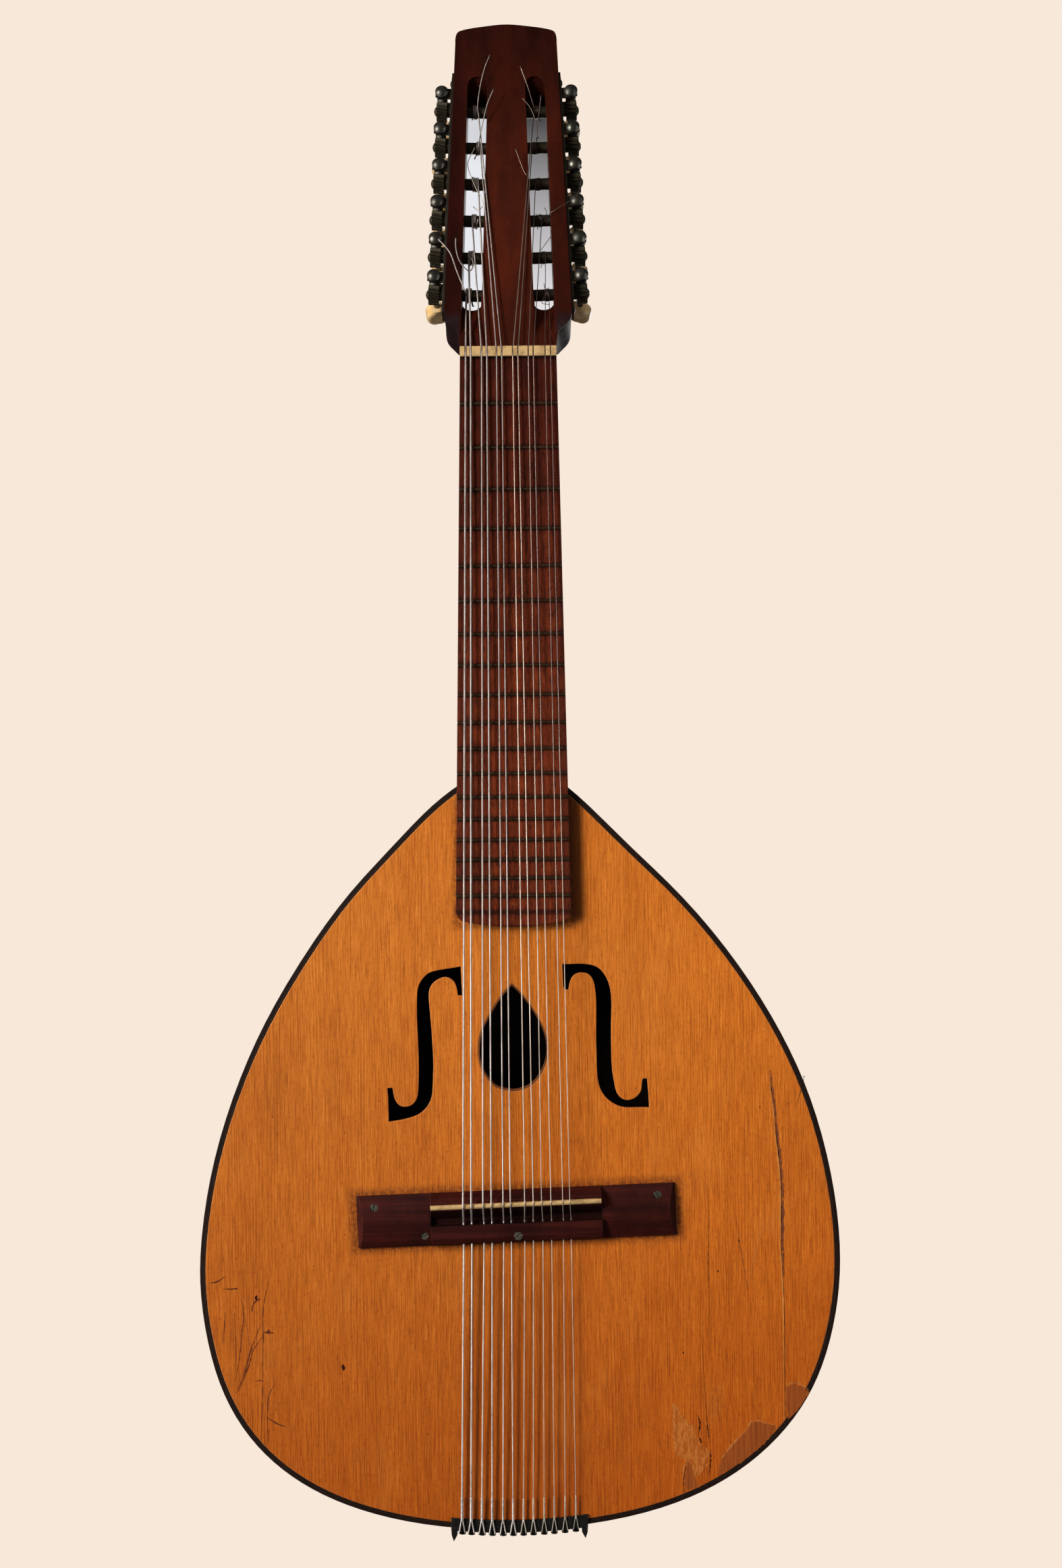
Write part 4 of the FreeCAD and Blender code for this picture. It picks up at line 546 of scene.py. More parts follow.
def mesh_piece(name, verts, faces, slot, body="instrument", smooth=True, material=None):
    mesh = bpy.data.meshes.new(name)
    mesh.from_pydata([tuple(v) for v in verts], [], faces)
    mesh.update()
    if smooth:
        for polygon in mesh.polygons:
            polygon.use_smooth = True
    piece = bpy.data.objects.new(name, mesh)
    scene.collection.objects.link(piece)
    mesh.materials.append(material or MATERIALS[slot])
    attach(piece, body)


def wires(name, paths, slot, body="instrument", sides=8):
    """One mesh of capped round wires; each path is (points, radius) in metres."""
    verts, faces = [], []
    for points, radius in paths:
        count = len(points)
        start = (points[1] - points[0]).normalized()
        aside = Vector((0, 0, 1)) if abs(start.z) < 0.9 else Vector((1, 0, 0))
        normal = start.cross(aside).normalized()
        base = len(verts)
        for i in range(count):
            ahead = (points[min(i + 1, count - 1)] - points[max(i - 1, 0)]).normalized()
            normal = (normal - ahead * normal.dot(ahead)).normalized()
            side = ahead.cross(normal)
            for k in range(sides):
                angle = 2 * math.pi * k / sides
                spoke = normal * math.cos(angle) + side * math.sin(angle)
                verts.append(points[i] + spoke * radius)
        for i in range(count - 1):
            for k in range(sides):
                here = base + i * sides + k
                beside = base + i * sides + (k + 1) % sides
                faces.append((here, beside, beside + sides, here + sides))
        faces.append(tuple(base + k for k in reversed(range(sides))))
        faces.append(tuple(base + (count - 1) * sides + k for k in range(sides)))
    mesh_piece(name, verts, faces, slot, body)


def smooth_path(points, steps):
    """Catmull-Rom curve through the points, with this many steps between each two."""
    points = [Vector(p) for p in points]
    points = [points[0] * 2 - points[1]] + points + [points[-1] * 2 - points[-2]]
    path = []
    for i in range(1, len(points) - 2):
        before, start, end, after = points[i - 1:i + 3]
        for k in range(steps):
            t = k / steps
            path.append(0.5 * (2 * start + (end - before) * t
                               + (2 * before - 5 * start + 4 * end - after) * t * t
                               + (3 * start - before - 3 * end + after) * t ** 3))
    path.append(points[-2])
    return path


def bench(x, y, z):
    """Bench millimetres (x across, y up the neck, z out of the soundboard) to the row frame."""
    return Vector((x * MM, -z * MM, y * MM))


HEAD_TILT = math.radians(15.0)
HEAD_Y, HEAD_Z = 544.6, 79.0     # foot of the head's face, bench mm


def head(x, up, out):
    """Head millimetres (across, up the head, out of its face) to the row frame."""
    y = HEAD_Y + up * math.cos(HEAD_TILT) + out * math.sin(HEAD_TILT)
    z = HEAD_Z - up * math.sin(HEAD_TILT) + out * math.cos(HEAD_TILT)
    return bench(x, y, z)


# Tuning posts, head mm. The head's sides lean in by SIDE_LEAN.
SIDE_LEAN = math.radians(2.1)
SIDE_X = 38.4 - math.tan(SIDE_LEAN) * 26.2
FIRST_POST_UP = 36.2
POST_PITCH = 25.0
POST_OUT = -10.0
POST_RADIUS = 3.5


def post_frame(side, index):
    """A post's (x, up) at the head's side, its direction, and the direction up the side."""
    lean = side * SIDE_LEAN
    along = (math.cos(lean), math.sin(lean))
    up = (-math.sin(lean), math.cos(lean))
    run = POST_PITCH * index
    return (side * SIDE_X + up[0] * run, FIRST_POST_UP + up[1] * run), along, up


def at_post(side, index, x, y, z):
    """Post millimetres (along the post, up the side, out of the face) to the row frame."""
    centre, along, up = post_frame(side, index)
    return head(centre[0] + along[0] * x + up[0] * y,
                centre[1] + along[1] * x + up[1] * y, POST_OUT + z)


# Strings from bass to treble, mm: diameter, x at the tail hook, x at the bridge's rear,
# x on the post, turns round the post. The first six are wound.
STRINGS = (
    (1.15, -34.0, -31.4, -24.9, 2.6), (1.15, -28.6, -26.5, -23.4, 2.2),
    (0.95, -22.3, -19.0, -21.4, 2.8), (0.95, -16.2, -14.4, -17.6, 3.2),
    (0.78, -9.8, -7.6, -16.4, 2.6), (0.78, -3.8, -2.8, -17.6, 3.4),
    (0.62, 2.3, 4.6, 17.2, 3.6), (0.62, 8.2, 9.7, 15.8, 3.0),
    (0.5, 14.6, 16.1, 17.4, 4.2), (0.5, 20.6, 21.0, 21.0, 3.4),
    (0.42, 27.0, 28.0, 22.8, 4.6), (0.42, 33.4, 33.0, 24.6, 4.0),
)
WOUND_COUNT = 6

# ------------------------------------------------------------------ windings on the posts
COIL_START = math.radians(96)
COIL_STEPS = 28                  # points in each turn
LAP_FROM, LAP_RISE = 0.86, 0.06  # shares of the coil: where it climbs onto itself, how fast
free_end_rng = random.Random(12)


def coil(number, diameter, post_x, turns):
    side = -1 if number < WOUND_COUNT else 1
    index = number if side < 0 else 11 - number
    tag = "%s_%d" % ("bass" if side < 0 else "treble", index + 1)
    radius = diameter / 2
    centre, along, _ = post_frame(side, index)
    start = (post_x - centre[0]) / along[0]
    advance = (-side if abs(post_x) > 20 else side) * turns * diameter * 1.12
    way = math.copysign(1, advance)
    coil_radius = POST_RADIUS + radius + 0.02
    points = []
    count = int(turns * COIL_STEPS)
    for j in range(count + 1):
        share = j / count
        angle = COIL_START - share * turns * 2 * math.pi
        wander = 0.12 * radius * math.sin(7.3 * share * turns + number)
        climb = min(1.0, max(0.0, share - LAP_FROM) / LAP_RISE)
        reach = coil_radius + 0.9 * radius * climb
        points.append(at_post(side, index, start + share * advance + wander,
                              reach * math.cos(angle), reach * math.sin(angle)))
    # The free end leaves the coil and stands off the post.
    for j, length in enumerate((0.5, 1.2, 2.2, 3.4)):
        angle = COIL_START - turns * 2 * math.pi - 0.25 * (j + 1)
        spring = 0.25 * length * length * (0.6 + 0.5 * free_end_rng.random())
        reach = coil_radius + 0.9 * radius + spring
        points.append(at_post(side, index, start + advance + way * 0.25 * length,
                              reach * math.cos(angle), reach * math.sin(angle)))
    slot = "wound_wire" if side < 0 else "plain_wire"
    wires("coil_" + tag, [(points, radius * MM)], slot, "roller_" + tag)


for k, (diameter, _, _, post_x, turns) in enumerate(STRINGS):
    coil(k, diameter, post_x, turns)

# ------------------------------------------------------------------ loose ends over the head
# Wire, radius in mm, and points in head mm (across, up, out).
LOOSE_ENDS = (
    ("wound", 0.30, [(-9.8, 190.4, 6.0), (-13.1, 181.9, 5.0), (-15.9, 171.5, 2.0),
                     (-17.6, 162.4, -3.0), (-18.0, 157.5, -6.0)]),
    ("wound", 0.34, [(-7.8, 166.0, 6.5), (-11.5, 156.9, 5.0), (-14.0, 147.6, 2.5),
                     (-16.5, 138.4, -3.0), (-17.2, 133.9, -6.2)]),
    ("plain", 0.24, [(-19.3, 131.8, -2.5), (-22.9, 123.5, -2.0), (-23.7, 118.5, -2.0),
                     (-21.3, 110.2, -2.6), (-18.1, 101.9, -2.2), (-15.8, 97.3, -1.8),
                     (-14.6, 92.5, -3.0), (-17.6, 90.2, -4.5), (-20.6, 93.0, -5.5)]),
    ("plain", 0.28, [(8.6, 181.6, 7.0), (13.1, 169.3, 4.0), (17.1, 158.6, -3.5)]),
    ("plain", 0.26, [(9.9, 159.2, 7.0), (14.6, 153.8, 5.0), (17.4, 147.2, 2.0),
                     (19.2, 137.9, -4.0)]),
    ("plain", 0.22, [(21.2, 164.0, 3.0), (20.2, 156.7, -1.0), (18.5, 142.6, -4.6)]),
    ("plain", 0.2, [(5.3, 125.7, 5.0), (9.7, 114.4, 1.0), (12.0, 110.5, 0.4)]),
    ("plain", 0.22, [(24.2, 84.0, -3.0), (26.7, 85.1, 0.5), (34.7, 88.6, 4.0),
                     (42.0, 93.0, 6.0), (44.7, 103.9, 5.0)]),
    ("wound", 0.42, [(-24.6, 33.0, -6.0), (-26.0, 35.2, -1.0), (-30.5, 45.9, 3.0),
                     (-33.5, 54.5, 5.0), (-36.7, 59.4, 6.0), (-41.2, 64.4, 6.5)]),
    ("wound", 0.40, [(-30.8, 66.2, 4.5), (-30.8, 60.3, 3.5), (-29.1, 53.5, 2.0),
                     (-25.8, 49.0, 0.2), (-22.7, 47.4, -1.2), (-20.7, 50.9, -2.0),
                     (-21.0, 55.5, -3.0), (-23.0, 58.2, -5.2)]),
    ("plain", 0.2, [(17.0, 88.0, -5.8), (20.4, 84.6, -5.0), (23.8, 87.4, -4.6),
                    (22.6, 92.0, -5.6)]),
    ("plain", 0.2, [(19.4, 62.6, -5.8), (22.5, 66.0, -4.0), (26.4, 71.0, -2.2)]),
    ("plain", 0.2, [(24.5, 38.5, -6.2), (21.5, 30.5, -3.2), (20.4, 27.0, -3.4),
                    (24.6, 25.6, -3.0)]),
)
for k, (kind, radius, points) in enumerate(LOOSE_ENDS, start=1):
    path = smooth_path([head(*p) for p in points], steps=7)
    wires("loose_end_%02d" % k, [(path, radius * MM)], kind + "_wire", sides=7)

# ------------------------------------------------------------------ twisted tails
TWIST_STEPS = 14                 # points in each turn


def tail_twist(diameter, hook_x, rear_x, turns, string_points):
    """Two strands twisted round each string just above its tail loop."""
    near = string_points[(np.abs(string_points[:, 0] - hook_x) < 2.6)
                         & (string_points[:, 2] < -120)]
    radius = diameter / 2
    strand = min(radius, 0.42)
    lip = float(near[:, 2].min()) + 2 * strand + 0.4    # from the loop's lowest point
    out = 77.3 + radius + 0.28
    upper = Vector((hook_x + (rear_x - hook_x) * 0.06, lip + 20.4, out + 0.4))
    lower = Vector((hook_x, lip + 6.9, out + 0.2))
    paths = []
    count = turns * TWIST_STEPS
    for phase in (0.0, math.pi):
        points = []
        for j in range(count + 1):
            share = j / count
            centre = upper.lerp(lower, share)
            angle = phase + share * turns * 2 * math.pi
            reach = radius + 0.20 - 0.1 * math.sin(math.pi * share)
            points.append(bench(centre.x + reach * math.cos(angle), centre.y,
                                centre.z + reach * math.sin(angle)))
        paths.append((points, strand * 0.62 * MM))
    return paths


for kind, rows, turns in (("wound", STRINGS[:WOUND_COUNT], 10),
                          ("plain", STRINGS[WOUND_COUNT:], 13)):
    vertices = nodes[kind + "_strings"].data.vertices
    string_points = np.array([v.co for v in vertices], float) / MM
    paths = []
    for diameter, hook_x, rear_x, _, _ in rows:
        paths += tail_twist(diameter, hook_x, rear_x, turns, string_points)
    wires("tail_twists_%s_wire" % kind, paths, kind + "_wire", sides=6)

# ------------------------------------------------------------------ wear on the soundboard
TOP_FACE = 76.0                  # soundboard's outer face, bench mm


def mark_mat(name, colour, rough, streaks=None, alpha=None, spec=0.4):
    """Streaked flat colour; alpha is the noise range over which the mark appears."""
    mat = Mat(name)
    mat.colour = srgb(*colour)
    over = srgb(*streaks) if streaks else tone(mat.colour, 0.72)
    mat.paint(over, mat.ramp(mat.grain(mat.xyz, (1300, 0, 25)), 0.35, 0.7))
    if alpha is not None:
        alpha = mat.ramp(mat.cloud((900, 900, 260), detail=4, rough=0.65), *alpha)
    return mat.surface(rough, spec=spec, alpha=alpha)


crack = mark_mat("crack_line", (52, 22, 9), rough=0.8, spec=0.1)
shallow = mark_mat("shallow_scratch", (120, 58, 20), rough=0.6, alpha=(0.30, 0.52))
scratch = mark_mat("scratch_line", (104, 47, 19), rough=0.7, streaks=(84, 36, 14),
                   alpha=(0.18, 0.34), spec=0.1)
pale = mark_mat("pale_scratch", (220, 150, 78), rough=0.5, alpha=(0.34, 0.60))
split_lip = mark_mat("raised_split_lip", (222, 140, 62), rough=0.35, streaks=(196, 112, 44),
                     alpha=(0.25, 0.5))
split_shade = mark_mat("split_shadow", (126, 60, 20), rough=0.6, alpha=(0.28, 0.50))
bare = mark_mat("worn_varnish", (166, 86, 36), rough=0.75, streaks=(132, 62, 24), spec=0.04)
lifted = mark_mat("lifted_grain", (204, 120, 52), rough=0.6, streaks=(182, 100, 40),
                  alpha=(0.34, 0.56), spec=0.06)
bare_edge = mark_mat("varnish_edge", (206, 128, 66), rough=0.6, alpha=(0.36, 0.56), spec=0.06)


def strip(name, material, points, widths, seed, jitter=0.5, lift=0.04):
    """Flat ribbon lifted off the soundboard; points (x, y) and widths in bench mm."""
    rng = random.Random(seed)
    path = smooth_path([(x, y, 0) for x, y in points], steps=10)
    count = len(path)
    verts = []
    for i, point in enumerate(path):
        ahead = (path[min(i + 1, count - 1)] - path[max(i - 1, 0)]).normalized()
        place = i / (count - 1) * (len(widths) - 1)
        k = int(min(place, len(widths) - 2))
        width = widths[k] + (widths[k + 1] - widths[k]) * (place - k)
        width *= 1 + jitter * (rng.random() - 0.5) * 2
        offset = jitter * 0.35 * width * (rng.random() - 0.5)
        side = Vector((-ahead.y, ahead.x, 0))
        for sign in (-1, 1):
            corner = point + side * (sign * width / 2 + offset)
            verts.append(bench(corner.x, corner.y, TOP_FACE + lift))
    faces = [(i, i + 1, i + 3, i + 2) for i in range(0, 2 * count - 2, 2)]
    mesh_piece(name, verts, faces, "top_wood", smooth=False, material=material)


def patch(name, material, points, seed, ragged=0.4, lift=0.02):
    """Flat patch with a ragged outline; points (x, y) in bench mm."""
    rng = random.Random(seed)
    verts = []
    for i in range(len(points)):
        start = Vector((*points[i], 0))
        end = Vector((*points[(i + 1) % len(points)], 0))
        steps = max(2, int((end - start).length / 1.2))
        for k in range(steps):
            shift = Vector((rng.uniform(-1, 1), rng.uniform(-1, 1), 0)) * ragged
            corner = start.lerp(end, k / steps) + shift
            verts.append(bench(corner.x, corner.y, TOP_FACE + lift))
    mesh_piece(name, verts, [tuple(range(len(verts)))], "top_wood", smooth=False,
               material=material)


# The long split on the treble side, with a shadow and a raised lip beside it.
SPLIT = [(150.6, 112.0), (151.6, 101.0), (153.4, 86.0), (154.2, 74.0), (156.0, 57.1),
         (157.0, 40.3), (156.8, 22.0), (156.7, 7.5), (157.4, -10.0), (158.0, -25.8),
         (158.0, -60.0), (157.9, -95.0)]
strip("split_shadow", split_shade, [(x + 0.75, y) for x, y in SPLIT[:9]],
      [0.3, 1.2, 0.9, 1.8, 1.5, 1.9, 1.3, 0.6], seed=5, jitter=0.45, lift=0.02)
strip("split_lip", split_lip, [(x - 0.55, y) for x, y in SPLIT],
      [0.3, 0.8, 0.7, 1.1, 0.9, 1.0, 0.8, 0.7, 0.4], seed=6, jitter=0.35, lift=0.05)
strip("split_line", crack, SPLIT,
      [0.10, 0.34, 0.22, 0.5, 0.34, 0.42, 0.28, 0.26, 0.20, 0.16], seed=7, jitter=0.6,
      lift=0.06)

# Cracks and scratches.
strip("crack_long", crack,
      [(113.6, 38.7), (113.9, 20.0), (113.3, 0.0), (113.6, -20.0), (113.4, -42.9)],
      [0.08, 0.26, 0.32, 0.30, 0.24, 0.08], seed=8)
strip("crack_low", crack,
      [(109.0, -43.7), (109.9, -66.0), (111.4, -91.3), (112.0, -100.0), (113.2, -108.5)],
      [0.06, 0.18, 0.22, 0.55, 0.12], seed=9, jitter=0.7)
strip("scratch_v_left", shallow, [(130.5, 22.5), (133.0, 4.0), (136.5, -17.1)],
      [0.12, 0.30, 0.2], seed=10, jitter=0.4, lift=0.03)
strip("scratch_v_right", pale, [(146.1, 20.8), (140.2, 0.0), (136.5, -17.1)],
      [0.12, 0.30, 0.2], seed=11, jitter=0.4, lift=0.03)
strip("crack_edge", crack, [(171.3, 108.6), (169.6, 101.0), (168.0, 96.0), (166.3, 90.0)],
      [0.45, 0.4, 0.3, 0.1], seed=12, jitter=0.6)
strip("scratch_a", scratch,
      [(-147.5, -10.4), (-150.8, -26.7), (-151.0, -45.9), (-151.7, -74.7), (-152.8, -104.7)],
      [0.2, 0.62, 0.5, 0.6, 0.45, 0.3], seed=13, jitter=0.6, lift=0.03)
strip("scratch_b", shallow, [(-152.5, -36.3), (-158.0, -52.0), (-167.3, -73.4)],
      [0.1, 0.26, 0.1], seed=14, lift=0.03)
strip("scratch_c", scratch, [(-149.4, -90.8), (-143.5, -94.5), (-137.5, -96.9)],
      [0.3, 0.9, 0.3], seed=15, jitter=0.6, lift=0.03)
strip("scratch_d", pale, [(-155.0, -52.0), (-149.0, -66.0), (-146.0, -84.0)],
      [0.1, 0.2, 0.1], seed=16, lift=0.03)
strip("scratch_e", shallow, [(-163.0, -26.0), (-159.5, -44.0), (-160.5, -60.0)],
      [0.1, 0.25, 0.1], seed=17, lift=0.03)

# Scratches low on the bass side: points, widths.
LEFT_SCRATCHES = (
    ([(-173.5, -27.8), (-173.8, -36.1), (-175.0, -48.2)], [0.15, 0.5, 0.2]),
    ([(-164.1, -20.2), (-162.5, -27.0), (-163.2, -39.1), (-165.0, -54.2), (-167.5, -69.4)],
     [0.15, 0.45, 0.55, 0.5, 0.2]),
    ([(-152.3, -35.3), (-158.4, -51.2), (-162.2, -64.8), (-167.2, -76.2)],
     [0.2, 0.6, 0.7, 0.3]),
    ([(-150.8, -42.2), (-156.9, -51.2), (-160.2, -61.8), (-165.9, -75.4)],
     [0.2, 0.5, 0.6, 0.3]),
    ([(-167.8, -28.5), (-167.5, -42.2), (-167.2, -55.8), (-167.8, -63.3)],
     [0.15, 0.4, 0.4, 0.15]),
    ([(-143.3, -69.4), (-147.5, -76.9), (-148.7, -86.0), (-148.7, -105.7)],
     [0.2, 0.55, 0.6, 0.4]),
    ([(-174.3, -14.6), (-170.0, -14.7), (-165.9, -14.3)], [0.3, 0.8, 1.3]),
    ([(-182.0, -11.0), (-178.0, -10.2), (-173.5, -7.4)], [0.6, 0.9, 0.3]),
    ([(-157.6, -28.0), (-156.4, -23.4), (-152.6, -20.4)], [0.4, 0.8, 0.9]),
    ([(-150.4, -40.4), (-147.6, -40.6), (-144.6, -40.9)], [0.9, 1.5, 0.5]),
    ([(-155.8, -69.4), (-153.0, -69.0), (-150.8, -69.7)], [0.3, 0.6, 0.2]),
)
for k, (points, widths) in enumerate(LEFT_SCRATCHES):
    strip("scratch_left_%d" % (k + 1), scratch, points, widths, seed=40 + k,
          lift=0.034 + 0.002 * k)
strip("scratch_f", shallow, [(115.0, -45.0), (122.0, -54.0), (131.0, -70.0)],
      [0.08, 0.2, 0.08], seed=18, lift=0.03)
strip("scratch_g", shallow, [(72.0, -96.0), (88.0, -104.0), (99.0, -112.0)],
      [0.1, 0.22, 0.1], seed=19, lift=0.03)

# Patches of worn varnish with their rims.
patch("bare_patch_1", bare,
      [(118.0, -128.0), (119.5, -118.5), (127.0, -109.5), (134.9, -101.5), (137.5, -97.2),
       (141.9, -96.2), (147.3, -97.9), (151.8, -98.3), (152.6, -100.5), (147.0, -107.5),
       (139.8, -114.4), (130.0, -121.3)], seed=21, ragged=0.5)
strip("bare_patch_1_rim", bare_edge,
      [(118.6, -119.5), (127.2, -109.0), (134.9, -100.9), (137.6, -96.7), (141.9, -95.6),
       (147.3, -97.4), (152.0, -97.9)], [0.5, 0.9, 0.6, 0.9, 0.5, 0.7, 0.4], seed=22)
patch("bare_patch_2", bare,
      [(158.6, -76.0), (163.5, -73.8), (169.0, -75.9), (172.3, -79.3), (168.5, -85.3),
       (163.6, -91.8), (159.9, -95.0), (158.6, -86.0)], seed=23)
strip("bare_patch_2_rim", bare_edge,
      [(158.6, -75.0), (163.5, -73.2), (169.0, -75.2), (172.8, -78.6)],
      [0.4, 1.0, 0.8, 0.4], seed=24)
patch("bare_patch_3", bare,
      [(98.6, -136.5), (97.8, -128.0), (100.6, -119.0), (102.2, -121.0), (104.4, -129.0),
       (107.0, -134.6)], seed=25)
patch("lifted_patch", lifted,
      [(91.4, -84.3), (94.0, -86.0), (96.2, -92.0), (103.2, -98.0), (106.2, -108.0),
       (113.2, -113.0), (111.2, -124.0), (102.0, -131.0), (98.6, -119.0), (92.0, -114.0),
       (91.0, -96.0)], seed=28, ragged=0.5, lift=0.015)
strip("bare_patch_3_side", crack, [(97.6, -138.0), (97.4, -130.0), (99.4, -120.0)],
      [0.3, 0.5, 0.2], seed=29, jitter=0.6)
strip("bare_patch_1_side", crack, [(113.6, -113.0), (113.4, -120.0), (112.4, -128.0)],
      [0.5, 0.7, 0.4], seed=30, jitter=0.6)
strip("crack_chip", crack, [(106.0, -92.0), (107.4, -97.0), (106.6, -104.0), (108.4, -108.4)],
      [0.4, 1.0, 0.3, 0.9], seed=31, jitter=0.7)
strip("bare_patch_3_rim", bare_edge, [(97.2, -131.0), (97.2, -124.0), (100.4, -118.3)],
      [0.3, 0.8, 0.5], seed=27)

# Larger dents, bench mm: x, y, size.
DENTS = [(-166.7, -13.8, 1.2), (-154.8, -19.9, 1.6), (-147.7, -40.0, 1.3),
         (-103.6, -62.0, 2.0), (131.5, 11.0, 0.7), (119.0, -7.0, 0.8), (98.0, -55.0, 0.7)]
SPECK_CORNERS = 9


def clear_top(x, y):
    """True on open soundboard, off the rim, fingerboard, hole and bridge."""
    rim = (x / 178) ** 2 + (y / (150 if y < 0 else 270)) ** 2 > 0.86
    board = abs(x) < 40 and y > 195
    hole = abs(x) < 80 and 80 < y < 180
    bridge = abs(x) < 97 and 5 < y < 50
    return not (rim or board or hole or bridge)


def varnish_specks():
    """Small dents and specks scattered over the varnish."""
    rng = random.Random(44)
    specks = DENTS + [(rng.uniform(-160, 165), rng.uniform(-125, 190),
                       rng.uniform(0.15, 0.55)) for _ in range(70)]
    verts, faces = [], []
    for x, y, size in specks:
        if not clear_top(x, y):
            continue
        faces.append(tuple(range(len(verts), len(verts) + SPECK_CORNERS)))
        for k in range(SPECK_CORNERS):
            angle = 2 * math.pi * k / SPECK_CORNERS
            reach = size * (0.55 + 0.45 * rng.random())
            verts.append(bench(x + reach * math.cos(angle) * 0.7,
                               y + reach * math.sin(angle) * 1.3, TOP_FACE + 0.03))
    mesh_piece("varnish_specks", verts, faces, "top_wood", smooth=False, material=crack)


varnish_specks()

# ------------------------------------------------------------------ camera
CAMERA_AT = Vector((0.011, -1.276, 0.283))
CAMERA_ROLL = -0.00973           # radians
camera_data = bpy.data.cameras.new("camera")
camera_data.sensor_width = 36.0
camera_data.sensor_fit = "AUTO"
camera_data.lens = 46.48
camera_data.clip_start = 0.01
camera_data.clip_end = 50
camera = bpy.data.objects.new("camera", camera_data)
scene.collection.objects.link(camera)
camera.location = CAMERA_AT
camera.rotation_mode = "QUATERNION"
level_view = Vector((0, 1, 0)).to_track_quat("-Z", "Y").to_matrix()
camera.rotation_quaternion = (level_view @ Matrix.Rotation(CAMERA_ROLL, 3, "Z")).to_quaternion()
scene.camera = camera
scene.view_settings.view_transform = "Standard"
scene.view_settings.look = "None"


# ------------------------------------------------------------------ lamps
def lamp(name, at, target, width, height, power, color, glossy=True, diffuse=True):
    light = bpy.data.lights.new(name, "AREA")
    light.shape = "RECTANGLE"
    light.size = width
    light.size_y = height
    light.energy = power
    light.color = color
    holder = bpy.data.objects.new(name, light)
    scene.collection.objects.link(holder)
    holder.location = at
    holder.rotation_mode = "QUATERNION"
    holder.rotation_quaternion = (Vector(target) - Vector(at)).to_track_quat("-Z", "Y")
    holder.visible_glossy = glossy
    holder.visible_diffuse = diffuse


lamp("window_left", at=(-1.55, -1.35, 0.75), target=(0, -0.05, 0.25),
     width=0.55, height=1.1, power=56, color=(1.0, 0.985, 0.955))
lamp("soft_top", at=(0.1, -1.0, 1.9), target=(0, -0.05, 0.35),
     width=1.2, height=1.2, power=6, color=(1.0, 0.99, 0.97), glossy=False)
lamp("fill_right", at=(1.9, -1.6, 0.2), target=(0, -0.05, 0.2),
     width=1.6, height=1.6, power=4, color=(0.96, 0.98, 1.0), glossy=False)
lamp("glint_left", at=(-1.3, -0.55, 0.3), target=(0, -0.08, 0.25),
     width=0.35, height=1.8, power=10, color=(1, 1, 1), diffuse=False)
lamp("glint_right", at=(1.35, -0.75, 0.3), target=(0, -0.08, 0.25),
     width=0.35, height=1.8, power=7, color=(1, 1, 1), diffuse=False)
lamp("back_light", at=(0.4, 1.8, 0.9), target=(0, 0, 0.3),
     width=1.6, height=1.6, power=22, color=(1.0, 0.99, 0.97))


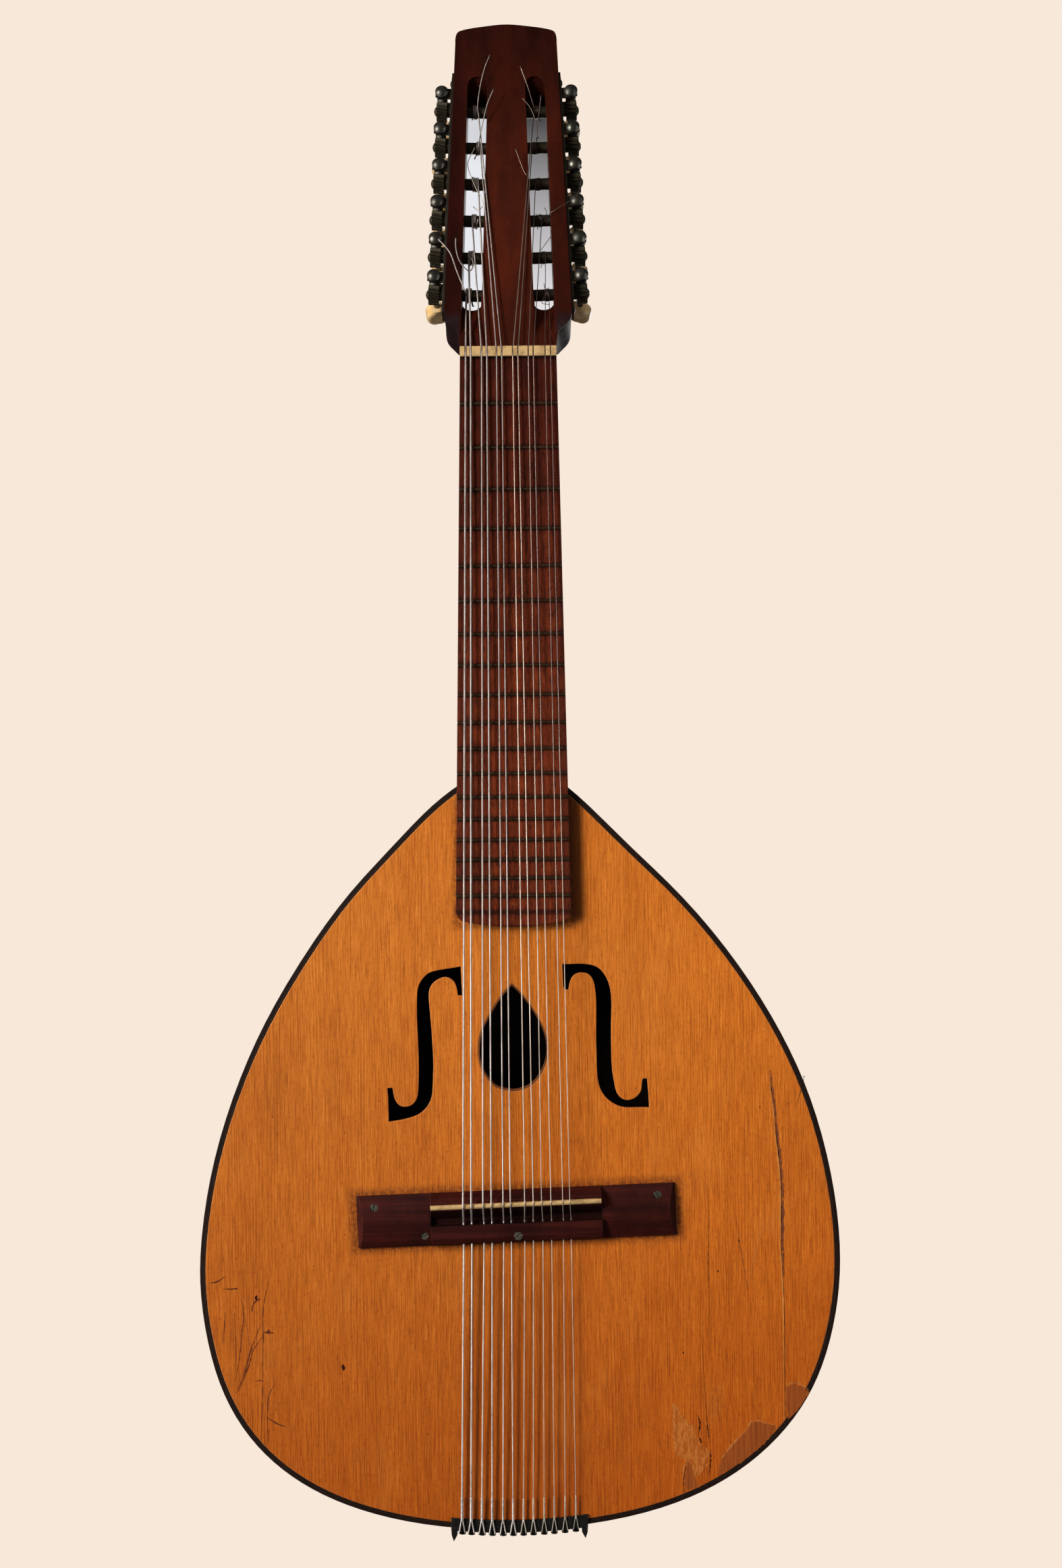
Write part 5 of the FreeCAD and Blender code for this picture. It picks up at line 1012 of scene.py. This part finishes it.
# ------------------------------------------------------------------ backdrop
def pale_studio():
    """World with its own brightness for the camera, for glossy rays and for the rest."""
    world = bpy.data.worlds.new("pale_studio")
    scene.world = world
    world.use_nodes = True
    tree = world.node_tree
    tree.nodes.clear()
    out = tree.nodes.new("ShaderNodeOutputWorld")
    rays = tree.nodes.new("ShaderNodeLightPath")

    def background(color, strength):
        node = tree.nodes.new("ShaderNodeBackground")
        node.inputs["Color"].default_value = color
        node.inputs["Strength"].default_value = strength
        return node.outputs[0]

    def choose(ray, otherwise, shader):
        node = tree.nodes.new("ShaderNodeMixShader")
        for socket, source in zip(node.inputs, (rays.outputs[ray], otherwise, shader)):
            tree.links.new(source, socket)
        return node.outputs[0]

    seen = background(srgb(248, 232, 217), strength=1.0)
    lit = background((1.0, 0.965, 0.92, 1.0), strength=0.15)
    mirrored = background((1.0, 0.975, 0.95, 1.0), strength=0.05)
    unseen = choose("Is Glossy Ray", lit, mirrored)
    tree.links.new(choose("Is Camera Ray", unseen, seen), out.inputs["Surface"])


def slot_wall_material():
    """Glows only along rays that reach the camera's own place; clear from elsewhere."""
    mat = Mat("slot_wall")
    x, y, z = mat.xyz
    surface = mat.new("ShaderNodeNewGeometry").outputs
    to_camera = mat.vector_math("SUBTRACT", CAMERA_AT, surface["Position"])
    to_camera = mat.vector_math("NORMALIZE", to_camera)
    match = mat.vector_math("DOT_PRODUCT", to_camera, surface["Incoming"], "Value")
    from_camera = mat.math("GREATER_THAN", match, 0.999999)
    # Emission stands in for the lit wall: the bass half white, painted darker grey near its
    # top; the treble half with painted shade that deepens towards the top.
    shade = mat.ramp(z, 0.572, 0.697, to=(0.80, 0.075), linear=True)
    left = mat.mix(mat.ramp(z, 0.665, 0.690, to=(0.0, 0.30)),
                   srgb(232, 233, 238), srgb(150, 150, 156))
    right = mat.mix(1.0, srgb(252, 249, 252), mat.vec(shade, shade, shade), "MULTIPLY")
    glow = mat.new("ShaderNodeEmission")
    mat.put(glow.inputs["Color"], mat.mix(mat.ramp(x, -0.002, 0.002), left, right))
    blend = mat.new("ShaderNodeMixShader")
    mat.put(blend.inputs[0], from_camera)
    mat.put(blend.inputs[1], mat.new("ShaderNodeBsdfTransparent").outputs[0])
    mat.put(blend.inputs[2], glow.outputs[0])
    mat.put(mat.out.inputs["Surface"], blend.outputs[0])
    return mat.material


def slot_wall():
    """The wall close behind the head, seen only through its slots."""
    corners = ((-33, 12), (33, 12), (31, 186), (-31, 186))    # head mm: across, up
    mesh = bpy.data.meshes.new("slot_wall")
    mesh.from_pydata([tuple(head(x, up, -26.0)) for x, up in corners], [], [(0, 1, 2, 3)])
    wall = bpy.data.objects.new("slot_wall", mesh)
    scene.collection.objects.link(wall)
    for ray in ("diffuse", "glossy", "shadow", "transmission", "volume_scatter"):
        setattr(wall, "visible_" + ray, False)
    mesh.materials.append(slot_wall_material())


pale_studio()
slot_wall()
